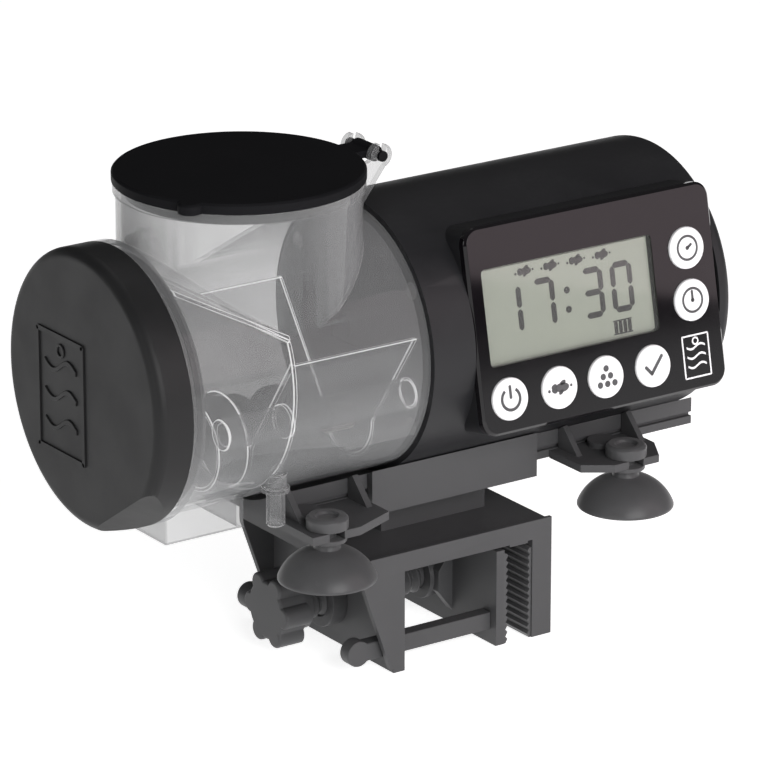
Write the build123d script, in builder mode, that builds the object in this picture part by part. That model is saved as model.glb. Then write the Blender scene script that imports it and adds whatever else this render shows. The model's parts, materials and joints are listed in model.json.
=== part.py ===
"""Automatic fish feeder: clear auger container, battery drive housing, holder rail and glass clamp.

The origin is the middle of the clamp's glass stop. +X runs along the feeder towards the drive
housing, +Y to the back of the feeder and +Z up. All lengths are millimetres.
"""
from build123d import *
from math import acos, asin, cos, hypot, pi, radians, sin, tan
import os

os.makedirs("parts", exist_ok=True)

# ---- driving dimensions -------------------------------------------------------------------------
axis_z = 58.4            # feeder axis above the glass stop
cap_front = -118.0       # front face of the end cap
cap_length = 10.5
cap_r = 37.5
cap_wall = 2.4
cap_edge = 3.0           # rounding of the cap's front edge
cap_plug = 5.5           # how far the cap's ring reaches into the container
flat_near = 32.9         # thumb flat's distance from the axis at the front face
flat_angle = 56.5        # the flat's middle, below the front horizontal

flange_length = 3.5
body_r = 36.0            # clear container
body_length = 70.5
body_wall = 1.5
neck_r = 32.2
neck_wall = 1.5
neck_x = -69.1
neck_top = 49.0          # above the feeder axis
bead_r = 33.0
bead_height = 2.5
plug_gap = 0.15          # slip fit of rings inside the container

lid_r = 33.2
lid_thick = 2.8
lid_lift = 0.2           # lid above the neck's bead
seal_gap = 0.5
seal_width = 1.5
seal_depth = 3.5
hinge_x = -29.2
hinge_z = 49.9           # above the feeder axis
hinge_pin_r = 1.45
hinge_play = 0.05
knuckle_r = 2.2
knuckle_half = 4.4
ear_gap = 0.6            # from the knuckle to an ear
ear_thick = 2.2
ear_r = 3.3

auger_drop = 21.5        # auger axis below the feeder axis
auger_r = 11.0
auger_play = 0.35
auger_pitch = 13.2
auger_left = -98.0
auger_turns = 3.95
flight_thick = 1.6
auger_shaft_r = 3.0
insert_wall = 1.2
slope_top_y = 32.6       # upper edge of each sloped hopper wall
slope_top_z = 7.6
partition_x = -74.0
partition_top = 14.0     # above the feeder axis
collar_length = 9.0
ramp_rise = 14.0
ramp_end = -101.5

chute_left = -100.5
chute_length = 24.0
chute_half = 12.0
chute_bottom = 42.3      # below the feeder axis
chute_wall = 1.3
duct_r = 4.2
duct_wall = 0.9
duct_y = -28.6
duct_drop = 8.4
duct_left = -94.0
nozzle_x = -75.7
nozzle_y = -26.3
nozzle_r = 2.5
nozzle_bore = 1.5
nozzle_end = 37.5        # below the feeder axis
nozzle_hole = 2.0
nozzle_play = 0.02
nozzle_collar = 28.0     # collar's lower side, below the feeder axis
collar_thick = 1.2

housing_gap = 0.2        # between the container and the housing
housing_r = 37.5
housing_end_x = 65.2
housing_wall = 2.0
housing_round = 3.2
end_plate = 2.0
end_play = 0.1
recess_half = (11.0, 4.0)     # of the shallow recess in the end plate, along Y and Z
recess_depth = 0.8
recess_disc = (6.0, 3.4)     # a round pad in it: its y and radius

panel_width = 80.5
panel_height = 55.7
panel_r = 4.5
panel_x = 20.25
panel_low = (-42.0, -20.5)   # lower and upper edge of the panel face: y, z from the axis
panel_high = (-31.0, 34.0)
panel_depth = 27.0
bezel_thick = 2.5
window_size = (55.6, 26.1)
window_at = (-8.25, 3.4)     # from the panel's centre
window_thick = 1.2
lcd_margin = 1.2
board_gap = 3.9          # behind the bezel
board_size = (74.0, 49.0)
board_thick = 1.6
post_r = 1.8
button_r = 5.7
button_play = 0.1
button_proud = 0.8
button_travel = 0.7
flange_r = 6.4
button_flange = 0.8
plunger_r = 2.0
row_y = -18.65
row_x = (-31.45, -15.35, -0.05, 15.65)
column_x = 30.65
column_y = (10.85, -3.35)
button_names = ("power", "feed_now", "portion", "set", "hour", "minute")

gear_module = 0.8
gear_teeth = 30
pinion_teeth = 12
gear_width = 5.0
gear_left = -29.0
backlash = 0.16
journal_r = 4.0
spigot_r = 2.5
axle_r = 1.5
run_play = 0.05
plate_left = -21.5
plate_thick = 1.5
plate_size = (54.0, 62.0)
motor_r = 10.0
motor_length = 25.0
motor_shaft_r = 1.0
motor_clear = 2.0        # hole in the gear plate round the motor shaft
motor_boss = (3.0, 1.5)  # radius and length of the motor's rear boss
gear_hole_r = 2.2
pinion_angle = 120.0     # from the idler's axis to the motor's, seen from +X
pillar_r = 2.5

cell_r = 7.25
cell_length = 49.5
cell_y = 22.5
cell_drop = 3.5          # middle of the pair below the feeder axis
cell_gap = 0.5
cell_left = 2.0
tray_wall = 1.2
spring_wire = 0.4
spring_r = 3.0
contact_half = (5.0, 5.5)     # of a contact plate, along Y and Z
contact_thick = 0.5
cell_button_r = 2.7
door_x = (0.0, 52.0)
door_z = (-18.0, 11.0)
door_play = 0.25

rail_half = 19.0
rail_left = -72.4
rail_right = 66.0
rail_top = 31.0          # below the feeder axis
rail_bottom = 40.0
groove_depth = 1.2
groove_height = 1.2
groove_drop = 37.8       # the groove's lower side, below the feeder axis
saddle_play = 0.1
arm_top = 38.0
arm_thick = 2.3
arm_width = 27.5
arm_right_x = 17.5
arm_corner = 5.3         # cut corners of an arm
arm_boss_r = 4.4
arm_reach = 38.7         # front edge, from the feeder's middle plane
slot_width = 4.8
cup_y = -34.0
cup_x = (-64.8, 32.3)
cup_rim_r = 13.1
cup_rim = 52.1           # below the feeder axis
cup_bell = 8.5
cup_head_r = 5.6
cup_head = 3.5
cup_neck_r = 2.3
rib_thick = 1.8

shoe_left = -42.0
shoe_length = 53.8
shoe_wall = 2.3
shoe_play = 0.15
shoe_bottom = 43.6
neck_half = 11.0
clamp_left = -50.8
clamp_wall_x = -40.8
clamp_wall = 3.6
clamp_right = 10.9
clamp_half = 29.7
clamp_top = 5.0
clamp_drop = 27.6
stop_half = 3.0          # the glass stop: a low rib under the top plate
stop_height = 0.6
clamp_neck = (-32.0, 2.0)
glass_gap = 6.4          # between the jaw pads at rest
pad_base = 0.6
tooth_depth = 0.7
tooth_pitch = 2.0
jaw_plate = 2.7
jaw_lift = 0.4           # the sliding jaw below the top plate
fin_thick = 1.8
lip_height = 1.0
lip_thick = 1.2
screw_z = -14.6
screw_r = 5.0
socket_r = 7.0
socket_length = 5.8
swivel_r = 4.0
nut_r = 6.45
nut_flange_r = 8.0
nut_flange = 4.7
knob_left = -62.0
knob_length = 11.0
knob_r = 10.6
knob_lobe_r = 3.0
knob_lobes = 6
bar_y = 25.0
bar_width = 4.0
bar_height = 5.0
bar_z = -21.0
bar_left = -50.0
bar_play = 0.3
bar_end_r = 3.6
case_screw_ring = 32.6
case_boss_r = 3.4
small_screw_r = 1.25
small_head_r = 2.4
small_head = 1.3

# ---- worked-out places --------------------------------------------------------------------------
cap_back = cap_front + cap_length
body_left = cap_back + flange_length
body_right = body_left + body_length
bore_r = body_r - body_wall
neck_rim = axis_z + neck_top
auger_z = axis_z - auger_drop
trough_r = auger_r + auger_play
housing_left = body_right + housing_gap
end_inner = housing_left + end_plate
lid_z = neck_rim + lid_lift
hinge_height = axis_z + hinge_z
slope = hypot(panel_high[0] - panel_low[0], panel_high[1] - panel_low[1])
lean_y = (panel_high[0] - panel_low[0]) / slope
lean_z = (panel_high[1] - panel_low[1]) / slope
panel_mid = (panel_x, (panel_low[0] + panel_high[0]) / 2, axis_z + (panel_low[1] + panel_high[1]) / 2)
face = Plane(origin=panel_mid, x_dir=(1, 0, 0), z_dir=(0, -lean_z, lean_y))
button_at = [(x, row_y) for x in row_x] + [(column_x, y) for y in column_y]
post_at = [(-34.0, 22.0), (35.0, 22.0), (35.0, -14.0), ((row_x[0] + row_x[1]) / 2, row_y - 4.35)]
gear_r = gear_module * gear_teeth / 2
idler_z = auger_z + 2 * gear_r
motor_arm = gear_module * (gear_teeth + pinion_teeth) / 2
motor_y = motor_arm * cos(radians(pinion_angle))
motor_z = idler_z + motor_arm * sin(radians(pinion_angle))
cell_z = [axis_z - cell_drop + side * (cell_r + cell_gap / 2) for side in (-1, 1)]
rail_z = axis_z - rail_bottom
shoe_z = axis_z - shoe_bottom
jaw_face = glass_gap / 2
fixed_wall_x = jaw_face + pad_base + tooth_depth
jaw_left = -fixed_wall_x - jaw_plate
pillar_at = [(-24.0, axis_z - 12.0), (24.0, axis_z - 12.0), (20.0, axis_z + 22.0)]
case_screw_at = [(case_screw_ring * cos(radians(a)), axis_z + case_screw_ring * sin(radians(a)))
                 for a in (35, 145, 215, 325)]
rail_screw_x = (-12.0, 48.0)


def across(x):
    """Plane square to X, whose sketch coordinates are y and z."""
    return Plane.YZ.offset(x)


def along(y):
    """Plane square to Y, whose sketch coordinates are x and z."""
    return Plane.XZ.offset(-y)


def disc(x, r, length, y=0.0, z=axis_z, mode=Mode.ADD):
    """Cylinder along +X from x."""
    with BuildSketch(across(x)) as outline:
        with Locations((y, z)):
            Circle(r)
    extrude(outline.sketch, amount=length, mode=mode)


def block(x, y, z, mode=Mode.ADD):
    """Box between two corners, each argument a (low, high) pair."""
    middle = [(pair[0] + pair[1]) / 2 for pair in (x, y, z)]
    with Locations(tuple(middle)):
        Box(x[1] - x[0], y[1] - y[0], z[1] - z[0], mode=mode)


def gear_teeth_outline(teeth, y, z, phase):
    """Involute gear outline about (y, z), with a tooth's middle at the angle phase."""
    pitch_r = gear_module * teeth / 2
    base_r = pitch_r * cos(radians(20))
    involute = tan(radians(20)) - radians(20)
    tip_r, root_r = pitch_r + 0.9 * gear_module, pitch_r - 1.2 * gear_module
    start_r = max(base_r, root_r + 0.05)
    points = []
    for tooth in range(teeth):
        middle = radians(phase) + 2 * pi * tooth / teeth
        flank = []
        for step in range(5):
            r = start_r + (tip_r - start_r) * step / 4
            roll = acos(min(1.0, base_r / r))
            half = pi / (2 * teeth) - backlash / (4 * pitch_r) + involute - (tan(roll) - roll)
            flank.append((r, half))
        foot = (root_r, flank[0][1])
        for r, half in [foot] + flank:
            points.append((y + r * cos(middle - half), z + r * sin(middle - half)))
        for r, half in reversed([foot] + flank):
            points.append((y + r * cos(middle + half), z + r * sin(middle + half)))
    with BuildLine() as outline:
        Polyline(*points, close=True)
    make_face(outline.line)


# ---- end cap ------------------------------------------------------------------------------------
with BuildPart() as end_cap:
    disc(cap_front, cap_r, cap_length)
    fillet(end_cap.edges().group_by(Axis.X)[0], cap_edge)
    disc(cap_back, bore_r - plug_gap, cap_plug)
    disc(cap_front + cap_wall, bore_r - plug_gap - 3.2, cap_length + cap_plug, mode=Mode.SUBTRACT)
    disc(cap_back + 1.2, bore_r, 1.8, mode=Mode.SUBTRACT)
    disc(cap_back + 1.2, bore_r - 1.7, 1.8)
    disc(cap_back + 1.2, bore_r - plug_gap - 3.2, 1.8, mode=Mode.SUBTRACT)
    flat_y, flat_z = -cos(radians(flat_angle)), -sin(radians(flat_angle))
    flat_plane = Plane(origin=(0, 0, axis_z), x_dir=(1, 0, 0), z_dir=(0, -flat_z, flat_y))
    with BuildSketch(flat_plane):
        Polygon((cap_front - 0.5, flat_near - 0.3), (cap_back - 1.0, cap_r), (cap_back - 1.0, cap_r + 3),
                (cap_front - 0.5, cap_r + 3), align=None)
    extrude(amount=cap_r, both=True, mode=Mode.SUBTRACT)

with BuildPart() as cap_seal:
    disc(cap_back + 1.25, bore_r - 0.3, 1.7)
    disc(cap_back + 1.25, bore_r - 1.7, 1.7, mode=Mode.SUBTRACT)

# ---- clear container ----------------------------------------------------------------------------
with BuildPart() as food_container:
    disc(cap_back, cap_r, flange_length)
    disc(body_left, body_r, body_length)
    with BuildSketch(Plane.XY.offset(axis_z)):
        with Locations((neck_x, 0)):
            Circle(neck_r)
    extrude(amount=neck_top)
    with BuildSketch(Plane.XY.offset(neck_rim - bead_height)):
        with Locations((neck_x, 0)):
            Circle(bead_r)
    extrude(amount=bead_height)
    block((chute_left, chute_left + chute_length), (-chute_half, chute_half),
          (axis_z - chute_bottom, auger_z))
    disc(cap_back, bore_r, flange_length + body_length - body_wall, mode=Mode.SUBTRACT)
    with BuildSketch(Plane.XY.offset(axis_z)):
        with Locations((neck_x, 0)):
            Circle(neck_r - neck_wall)
    extrude(amount=neck_top, mode=Mode.SUBTRACT)
    block((chute_left + chute_wall, chute_left + chute_length - chute_wall),
          (chute_wall - chute_half, chute_half - chute_wall), (axis_z - chute_bottom, auger_z),
          mode=Mode.SUBTRACT)
    disc(body_right - body_wall, journal_r + 0.3, body_wall, z=auger_z, mode=Mode.SUBTRACT)
    with BuildSketch(Plane.XY.offset(axis_z - nozzle_end)):
        with Locations((nozzle_x, nozzle_y)):
            Circle(nozzle_hole)
    extrude(amount=nozzle_end - 20, mode=Mode.SUBTRACT)
    for side in (-1, 1):
        inner = side * (knuckle_half + ear_gap)
        with BuildSketch(along(inner)):
            with BuildLine():
                Polyline((neck_x + neck_r - 2, neck_rim - 16), (hinge_x + 1.2, hinge_height - ear_r + 0.2),
                         (hinge_x, hinge_height), (hinge_x - 4, neck_rim - 0.4),
                         (neck_x + neck_r - 2, neck_rim - 0.4), close=True)
            make_face()
            with Locations((hinge_x, hinge_height)):
                Circle(ear_r)
                Circle(hinge_pin_r + hinge_play, mode=Mode.SUBTRACT)
            with Locations((hinge_x + 0.6, hinge_height + ear_r)):
                Rectangle(2.2, 2 * ear_r - 2, rotation=-12, mode=Mode.SUBTRACT)
        extrude(amount=-side * ear_thick)

# ---- hopper insert: two sloped walls into the auger trough, a partition and a ramp ---------------
with BuildPart() as hopper_insert:
    slope_x = (partition_x, body_right - body_wall - 0.3)
    edge_y, edge_z = slope_top_y, axis_z + slope_top_z
    with BuildSketch(across(slope_x[0])):
        Polygon((-edge_y, edge_z), (-trough_r - 0.9, auger_z), (trough_r + 0.9, auger_z),
                (edge_y, edge_z), align=None)
        with Locations((0, auger_z)):
            Circle(trough_r + insert_wall)
        Polygon((insert_wall * 1.2 - edge_y, edge_z + 0.1), (-trough_r + 0.2, auger_z),
                (trough_r - 0.2, auger_z), (edge_y - insert_wall * 1.2, edge_z + 0.1),
                align=None, mode=Mode.SUBTRACT)
        with Locations((0, auger_z)):
            Circle(trough_r, mode=Mode.SUBTRACT)
    extrude(amount=slope_x[1] - slope_x[0])
    with BuildSketch(across(partition_x - insert_wall)):
        with Locations((0, axis_z)):
            Circle(bore_r - plug_gap)
        with Locations((0, axis_z + partition_top + body_r / 2)):
            Rectangle(2 * body_r, body_r, mode=Mode.SUBTRACT)
        with Locations((0, auger_z)):
            Circle(trough_r, mode=Mode.SUBTRACT)
        with Locations((duct_y, axis_z - duct_drop)):
            Circle(duct_r + 0.1, mode=Mode.SUBTRACT)
    extrude(amount=insert_wall)
    disc(partition_x - insert_wall - collar_length, trough_r + insert_wall, collar_length, z=auger_z)
    disc(partition_x - insert_wall - collar_length, trough_r, collar_length + 2, z=auger_z,
         mode=Mode.SUBTRACT)

with BuildPart() as ramp_room:
    disc(cap_back, bore_r - plug_gap, flange_length + body_length)
    with BuildSketch(Plane.XY.offset(axis_z)):
        with Locations((neck_x, 0)):
            Circle(neck_r - neck_wall - plug_gap)
    extrude(amount=neck_top)

with BuildPart() as hopper_ramp:
    with BuildSketch(along(-cap_r)):
        Polygon((partition_x, axis_z + partition_top), (ramp_end, axis_z + partition_top + ramp_rise),
                (ramp_end, axis_z + partition_top + ramp_rise + insert_wall),
                (partition_x, axis_z + partition_top + insert_wall), align=None)
    extrude(amount=-2 * cap_r)
    add(ramp_room.part, mode=Mode.INTERSECT)

with BuildPart() as air_duct:
    disc(duct_left, duct_r, body_right - body_wall - 0.3 - duct_left, y=duct_y, z=axis_z - duct_drop)
    disc(duct_left + duct_wall, duct_r - duct_wall, body_length, y=duct_y, z=axis_z - duct_drop,
         mode=Mode.SUBTRACT)

with BuildPart() as air_nozzle:
    collar_z = axis_z - nozzle_collar
    tip_z = axis_z - nozzle_end
    root_z = axis_z - (body_r ** 2 - (nozzle_y - nozzle_r) ** 2) ** 0.5 - 1.6
    for low, high, r in ((tip_z, collar_z, nozzle_r), (collar_z, collar_z + collar_thick, nozzle_r + 1.2),
                         (collar_z + collar_thick, root_z, nozzle_r + 0.5)):
        with BuildSketch(Plane.XY.offset(low)):
            with Locations((nozzle_x, nozzle_y)):
                Circle(r)
        extrude(amount=high - low)
    chamfer(air_nozzle.edges().group_by(Axis.Z)[0], 0.5)
    disc(cap_front, body_r, 200, mode=Mode.SUBTRACT)
    with BuildSketch(Plane.XY.offset(collar_z)):
        with Locations((nozzle_x, nozzle_y)):
            Circle(nozzle_hole - nozzle_play)
    extrude(amount=axis_z - collar_z - 20)
    disc(cap_front, bore_r, 200, mode=Mode.SUBTRACT)
    with BuildSketch(Plane.XY.offset(tip_z)):
        with Locations((nozzle_x, nozzle_y)):
            Circle(nozzle_bore)
    extrude(amount=nozzle_end, mode=Mode.SUBTRACT)

# ---- lid ----------------------------------------------------------------------------------------
with BuildPart() as lid:
    with BuildSketch(Plane.XY.offset(lid_z)):
        with Locations((neck_x, 0)):
            Circle(lid_r)
        with Locations((neck_x - lid_r * cos(radians(35)), -lid_r * sin(radians(35)))):
            Circle(3.2)
    extrude(amount=lid_thick)
    chamfer(lid.edges().group_by(Axis.Z)[-1], 0.6)
    block((neck_x + lid_r - 3, hinge_x), (-knuckle_half, knuckle_half), (lid_z, lid_z + lid_thick - 0.8))
    with BuildSketch(along(knuckle_half)):
        with Locations((hinge_x, hinge_height)):
            Circle(knuckle_r)
    extrude(amount=2 * knuckle_half)
    pin_half = knuckle_half + ear_gap + ear_thick + 0.8
    with BuildSketch(along(pin_half)):
        with Locations((hinge_x, hinge_height)):
            Circle(hinge_pin_r)
    extrude(amount=2 * pin_half)

with BuildPart() as lid_seal:
    with BuildSketch(Plane.XY.offset(lid_z - seal_depth)):
        with Locations((neck_x, 0)):
            Circle(neck_r - neck_wall - seal_gap)
            Circle(neck_r - neck_wall - seal_gap - seal_width, mode=Mode.SUBTRACT)
    extrude(amount=seal_depth)

# ---- auger and its drive ------------------------------------------------------------------------
coupling_left = body_right - body_wall - 8.0
with BuildPart() as auger:
    disc(auger_left, auger_shaft_r, coupling_left + 5 - auger_left, z=auger_z)
    flight_start = (auger_left + flight_thick, 0, auger_z)
    with BuildLine() as flight_path:
        Helix(pitch=auger_pitch, height=auger_pitch * auger_turns,
              radius=(auger_r + auger_shaft_r - 0.5) / 2, center=flight_start, direction=(1, 0, 0))
    edge_point = flight_path.line @ 0
    outward = edge_point - Vector(*flight_start)
    with BuildSketch(Plane(origin=edge_point, x_dir=outward, z_dir=flight_path.line % 0)):
        Rectangle(auger_r - auger_shaft_r + 0.5, flight_thick)
    sweep(path=flight_path.line, is_frenet=True)

with BuildPart() as drive_coupling:
    disc(coupling_left, journal_r + 0.9, body_right - body_wall - 0.6 - coupling_left, z=auger_z)
    disc(coupling_left, journal_r, gear_left - coupling_left, z=auger_z)
    disc(gear_left, spigot_r, plate_left + plate_thick - gear_left, z=auger_z)
    disc(coupling_left, auger_shaft_r, 5, z=auger_z, mode=Mode.SUBTRACT)

with BuildPart() as output_gear:
    with BuildSketch(across(gear_left)):
        gear_teeth_outline(gear_teeth, 0, auger_z, 90)
        with Locations((0, auger_z)):
            Circle(spigot_r, mode=Mode.SUBTRACT)
            with PolarLocations(0.62 * gear_r, 5):
                Circle(gear_hole_r, mode=Mode.SUBTRACT)
    extrude(amount=gear_width)

with BuildPart() as idler_gear:
    with BuildSketch(across(gear_left)):
        gear_teeth_outline(gear_teeth, 0, idler_z, 270 + 180 / gear_teeth)
        with Locations((0, idler_z)):
            Circle(axle_r + run_play, mode=Mode.SUBTRACT)
            with PolarLocations(0.6 * gear_r, 5):
                Circle(gear_hole_r, mode=Mode.SUBTRACT)
    extrude(amount=gear_width)

with BuildPart() as motor_pinion:
    with BuildSketch(across(gear_left)):
        gear_teeth_outline(pinion_teeth, motor_y, motor_z, pinion_angle + 180 + 180 / pinion_teeth)
    extrude(amount=gear_width)
    disc(gear_left, motor_shaft_r, plate_left + plate_thick + 4 - gear_left, y=motor_y, z=motor_z)

with BuildPart() as idler_axle:
    disc(end_inner - 1.0, axle_r, plate_left + plate_thick - end_inner + 1.0, z=idler_z)
    disc(end_inner, axle_r + 1.0, gear_left - 0.1 - end_inner, z=idler_z)

with BuildPart() as gear_plate:
    with BuildSketch(across(plate_left)):
        with Locations((0, axis_z)):
            Circle(housing_r - housing_wall - 0.2)
        with Locations((0, axis_z - 4)):
            Rectangle(*plate_size, mode=Mode.INTERSECT)
        with Locations((0, auger_z)):
            Circle(spigot_r + run_play, mode=Mode.SUBTRACT)
        with Locations((0, idler_z)):
            Circle(axle_r, mode=Mode.SUBTRACT)
        with Locations((motor_y, motor_z)):
            Circle(motor_shaft_r + motor_clear, mode=Mode.SUBTRACT)
    extrude(amount=plate_thick)
    for y, z in pillar_at:
        disc(end_inner, pillar_r, plate_left - end_inner, y=y, z=z)

with BuildPart() as drive_motor:
    motor_left = plate_left + plate_thick
    disc(motor_left, motor_r, motor_length, y=motor_y, z=motor_z)
    fillet(drive_motor.edges().group_by(Axis.X)[-1], 1.5)
    disc(motor_left + motor_length, *motor_boss, y=motor_y, z=motor_z)
    disc(motor_left, motor_shaft_r + run_play, 4.5, y=motor_y, z=motor_z, mode=Mode.SUBTRACT)

with BuildPart() as shaft_seal:
    disc(end_inner, journal_r + 2.0, 1.2, z=auger_z)
    disc(end_inner, journal_r + 0.3, 1.2, z=auger_z, mode=Mode.SUBTRACT)

# ---- housing ------------------------------------------------------------------------------------
shell_r = housing_r - housing_wall
with BuildPart() as housing_hollow:
    disc(housing_left, shell_r, housing_end_x - housing_wall - housing_left)
    fillet(housing_hollow.edges().group_by(Axis.X)[-1], housing_round - housing_wall)
    with BuildSketch(face.offset(-bezel_thick)):
        RectangleRounded(panel_width - 2 * housing_wall, panel_height - 2 * housing_wall,
                         panel_r - housing_wall)
    extrude(amount=-panel_depth)

with BuildPart() as housing_shell:
    disc(housing_left, housing_r, housing_end_x - housing_left)
    fillet(housing_shell.edges().group_by(Axis.X)[-1], housing_round)
    with BuildSketch(face.offset(-bezel_thick)):
        RectangleRounded(panel_width, panel_height, panel_r)
    extrude(amount=-panel_depth)
    add(housing_hollow.part, mode=Mode.SUBTRACT)
    with BuildSketch(face.offset(-bezel_thick)):
        RectangleRounded(panel_width + 0.1, panel_height + 0.1, panel_r)
    extrude(amount=bezel_thick + 10, mode=Mode.SUBTRACT)
    block(door_x, (cell_y, housing_r + 5), (axis_z + door_z[0], axis_z + door_z[1]), mode=Mode.SUBTRACT)
    for y, z in case_screw_at:
        disc(end_inner + end_play, case_boss_r, 7, y=y, z=z)
    for x in rail_screw_x:
        with BuildSketch(Plane.XY.offset(axis_z - housing_r + 0.6)):
            with Locations((x, 0)):
                Circle(3.0)
        extrude(amount=6.0)
    disc(housing_left, housing_r + 20, housing_end_x - housing_left, mode=Mode.INTERSECT)
    for y, z in case_screw_at:
        disc(end_inner + end_play, small_screw_r, 6.5, y=y, z=z, mode=Mode.SUBTRACT)
    for x in rail_screw_x:
        with BuildSketch(Plane.XY.offset(axis_z - housing_r)):
            with Locations((x, 0)):
                Circle(small_screw_r)
        extrude(amount=6.0, mode=Mode.SUBTRACT)

with BuildPart() as housing_end:
    disc(housing_left, shell_r - end_play, end_plate)
    disc(housing_left, journal_r + run_play, end_plate, z=auger_z, mode=Mode.SUBTRACT)
    disc(end_inner - 1.0, axle_r, 1.0, z=idler_z, mode=Mode.SUBTRACT)
    block((housing_left, housing_left + recess_depth), (-recess_half[0], recess_half[0]),
          (axis_z - recess_half[1], axis_z + recess_half[1]), mode=Mode.SUBTRACT)
    disc(housing_left, recess_disc[1], recess_depth, y=recess_disc[0])
    for y, z in case_screw_at:
        disc(housing_left, small_screw_r, end_plate, y=y, z=z, mode=Mode.SUBTRACT)
        disc(housing_left, small_head_r, small_head, y=y, z=z, mode=Mode.SUBTRACT)

with BuildPart() as case_screws:
    for y, z in case_screw_at:
        disc(housing_left + 0.1, small_head_r, small_head - 0.1, y=y, z=z)
        disc(housing_left + small_head, small_screw_r, end_plate + 5, y=y, z=z)

# ---- control panel ------------------------------------------------------------------------------
with BuildPart() as panel_bezel:
    with BuildSketch(face.offset(-bezel_thick)):
        RectangleRounded(panel_width, panel_height, panel_r)
    extrude(amount=bezel_thick)
    chamfer(panel_bezel.faces().sort_by(Axis((0, 0, 0), (0, -lean_z, lean_y)))[-1].edges(), 0.7)
    with BuildSketch(face.offset(-bezel_thick)):
        with Locations(window_at):
            RectangleRounded(window_size[0], window_size[1], 1.2)
        with Locations(*button_at):
            Circle(button_r + button_play)
    extrude(amount=bezel_thick, mode=Mode.SUBTRACT)
    with BuildSketch(face.offset(-bezel_thick)):
        with Locations(*post_at):
            Circle(post_r)
    extrude(amount=-board_gap)

with BuildPart() as display_window:
    with BuildSketch(face.offset(-0.3)):
        with Locations(window_at):
            RectangleRounded(window_size[0], window_size[1], 1.2)
    extrude(amount=-window_thick)

with BuildPart() as lcd_module:
    with BuildSketch(face.offset(-0.3 - window_thick)):
        with Locations(window_at):
            Rectangle(window_size[0] - lcd_margin, window_size[1] - lcd_margin)
    extrude(amount=-(bezel_thick - 0.3 - window_thick))
    with BuildSketch(face.offset(-bezel_thick)):
        with Locations(window_at):
            Rectangle(window_size[0] + lcd_margin, window_size[1] + lcd_margin)
    extrude(amount=-board_gap)

with BuildPart() as control_board:
    with BuildSketch(face.offset(-bezel_thick - board_gap)):
        Rectangle(*board_size)
    extrude(amount=-board_thick)

with BuildPart() as switch_domes:
    with BuildSketch(face.offset(-bezel_thick - board_gap)):
        with Locations(*button_at):
            Circle(3.0)
    extrude(amount=1.2)

buttons = {}
for name, place in zip(button_names, button_at):
    with BuildPart() as button:
        with BuildSketch(face.offset(button_proud)):
            with Locations(place):
                Circle(button_r)
        extrude(amount=-(button_proud + bezel_thick))
        fillet(button.edges().filter_by(GeomType.CIRCLE).sort_by(Axis((0, 0, 0), (0, -lean_z, lean_y)))[-1],
               0.5)
        with BuildSketch(face.offset(-bezel_thick)):
            with Locations(place):
                Circle(flange_r)
        extrude(amount=-button_flange)
        with BuildSketch(face.offset(-bezel_thick - button_flange)):
            with Locations(place):
                Circle(plunger_r)
        extrude(amount=-(board_gap - 1.2 - 0.1 - button_travel - button_flange))
    buttons["button_" + name] = button

# ---- batteries ----------------------------------------------------------------------------------
tray_x = (cell_left - 2.3 - tray_wall, cell_left + cell_length + 1.0 + tray_wall)
tray_z = (cell_z[0] - cell_r - 0.35 - tray_wall, cell_z[1] + cell_r + 0.35 + tray_wall)
tray_y = (cell_y - cell_r - 0.25 - tray_wall, cell_y + 6.0)
with BuildPart() as battery_tray:
    block(tray_x, tray_y, tray_z)
    block((tray_x[0] + tray_wall, tray_x[1] - tray_wall), (tray_y[0] + tray_wall, tray_y[1] + 5),
          (tray_z[0] + tray_wall, tray_z[1] - tray_wall), mode=Mode.SUBTRACT)

with BuildPart() as battery_cells:
    for z in cell_z:
        disc(cell_left, cell_r, cell_length - 1.0, y=cell_y, z=z)
        disc(cell_left + cell_length - 1.0, cell_button_r, 1.0, y=cell_y, z=z)

with BuildPart() as battery_contacts:
    for x in (tray_x[0] + tray_wall, tray_x[1] - tray_wall - contact_thick):
        for z in cell_z:
            block((x, x + contact_thick), (cell_y - contact_half[0], cell_y + contact_half[0]),
                  (z - contact_half[1], z + contact_half[1]))

with BuildPart() as battery_springs:
    for z in cell_z:
        spring_plane = Plane(origin=(tray_x[0] + tray_wall + contact_thick, cell_y, z),
                             x_dir=(0, 1, 0), z_dir=(1, 0, 0))
        coil = [spring_plane.offset(0.4 + 0.95 * turn) for turn in range(2)]
        for turn, place in enumerate(coil):
            with Locations(place):
                Torus(spring_r - 0.8 * turn, spring_wire)

with BuildPart() as battery_door:
    disc(door_x[0], housing_r, door_x[1] - door_x[0])
    disc(door_x[0], shell_r, door_x[1] - door_x[0], mode=Mode.SUBTRACT)
    block((door_x[0] + door_play, door_x[1] - door_play), (cell_y, housing_r + 5),
          (axis_z + door_z[0] + door_play, axis_z + door_z[1] - door_play), mode=Mode.INTERSECT)

# ---- holder rail, arms and suction cups ---------------------------------------------------------
with BuildPart() as holder_rail:
    block((rail_left, rail_right), (-rail_half, rail_half), (rail_z, axis_z - rail_top))
    disc(rail_left, housing_r + saddle_play, rail_right - rail_left, mode=Mode.SUBTRACT)
    groove_z = axis_z - groove_drop
    for side in (-1, 1):
        block((rail_left, rail_right), sorted((side * rail_half, side * (rail_half - groove_depth))),
              (groove_z, groove_z + groove_height), mode=Mode.SUBTRACT)
    for x in rail_screw_x:
        with BuildSketch(Plane.XY.offset(rail_z)):
            with Locations((x, 0)):
                Circle(small_screw_r)
        extrude(amount=6, mode=Mode.SUBTRACT)
        with BuildSketch(Plane.XY.offset(rail_z)):
            with Locations((x, 0)):
                Circle(small_head_r)
        extrude(amount=small_head, mode=Mode.SUBTRACT)

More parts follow.
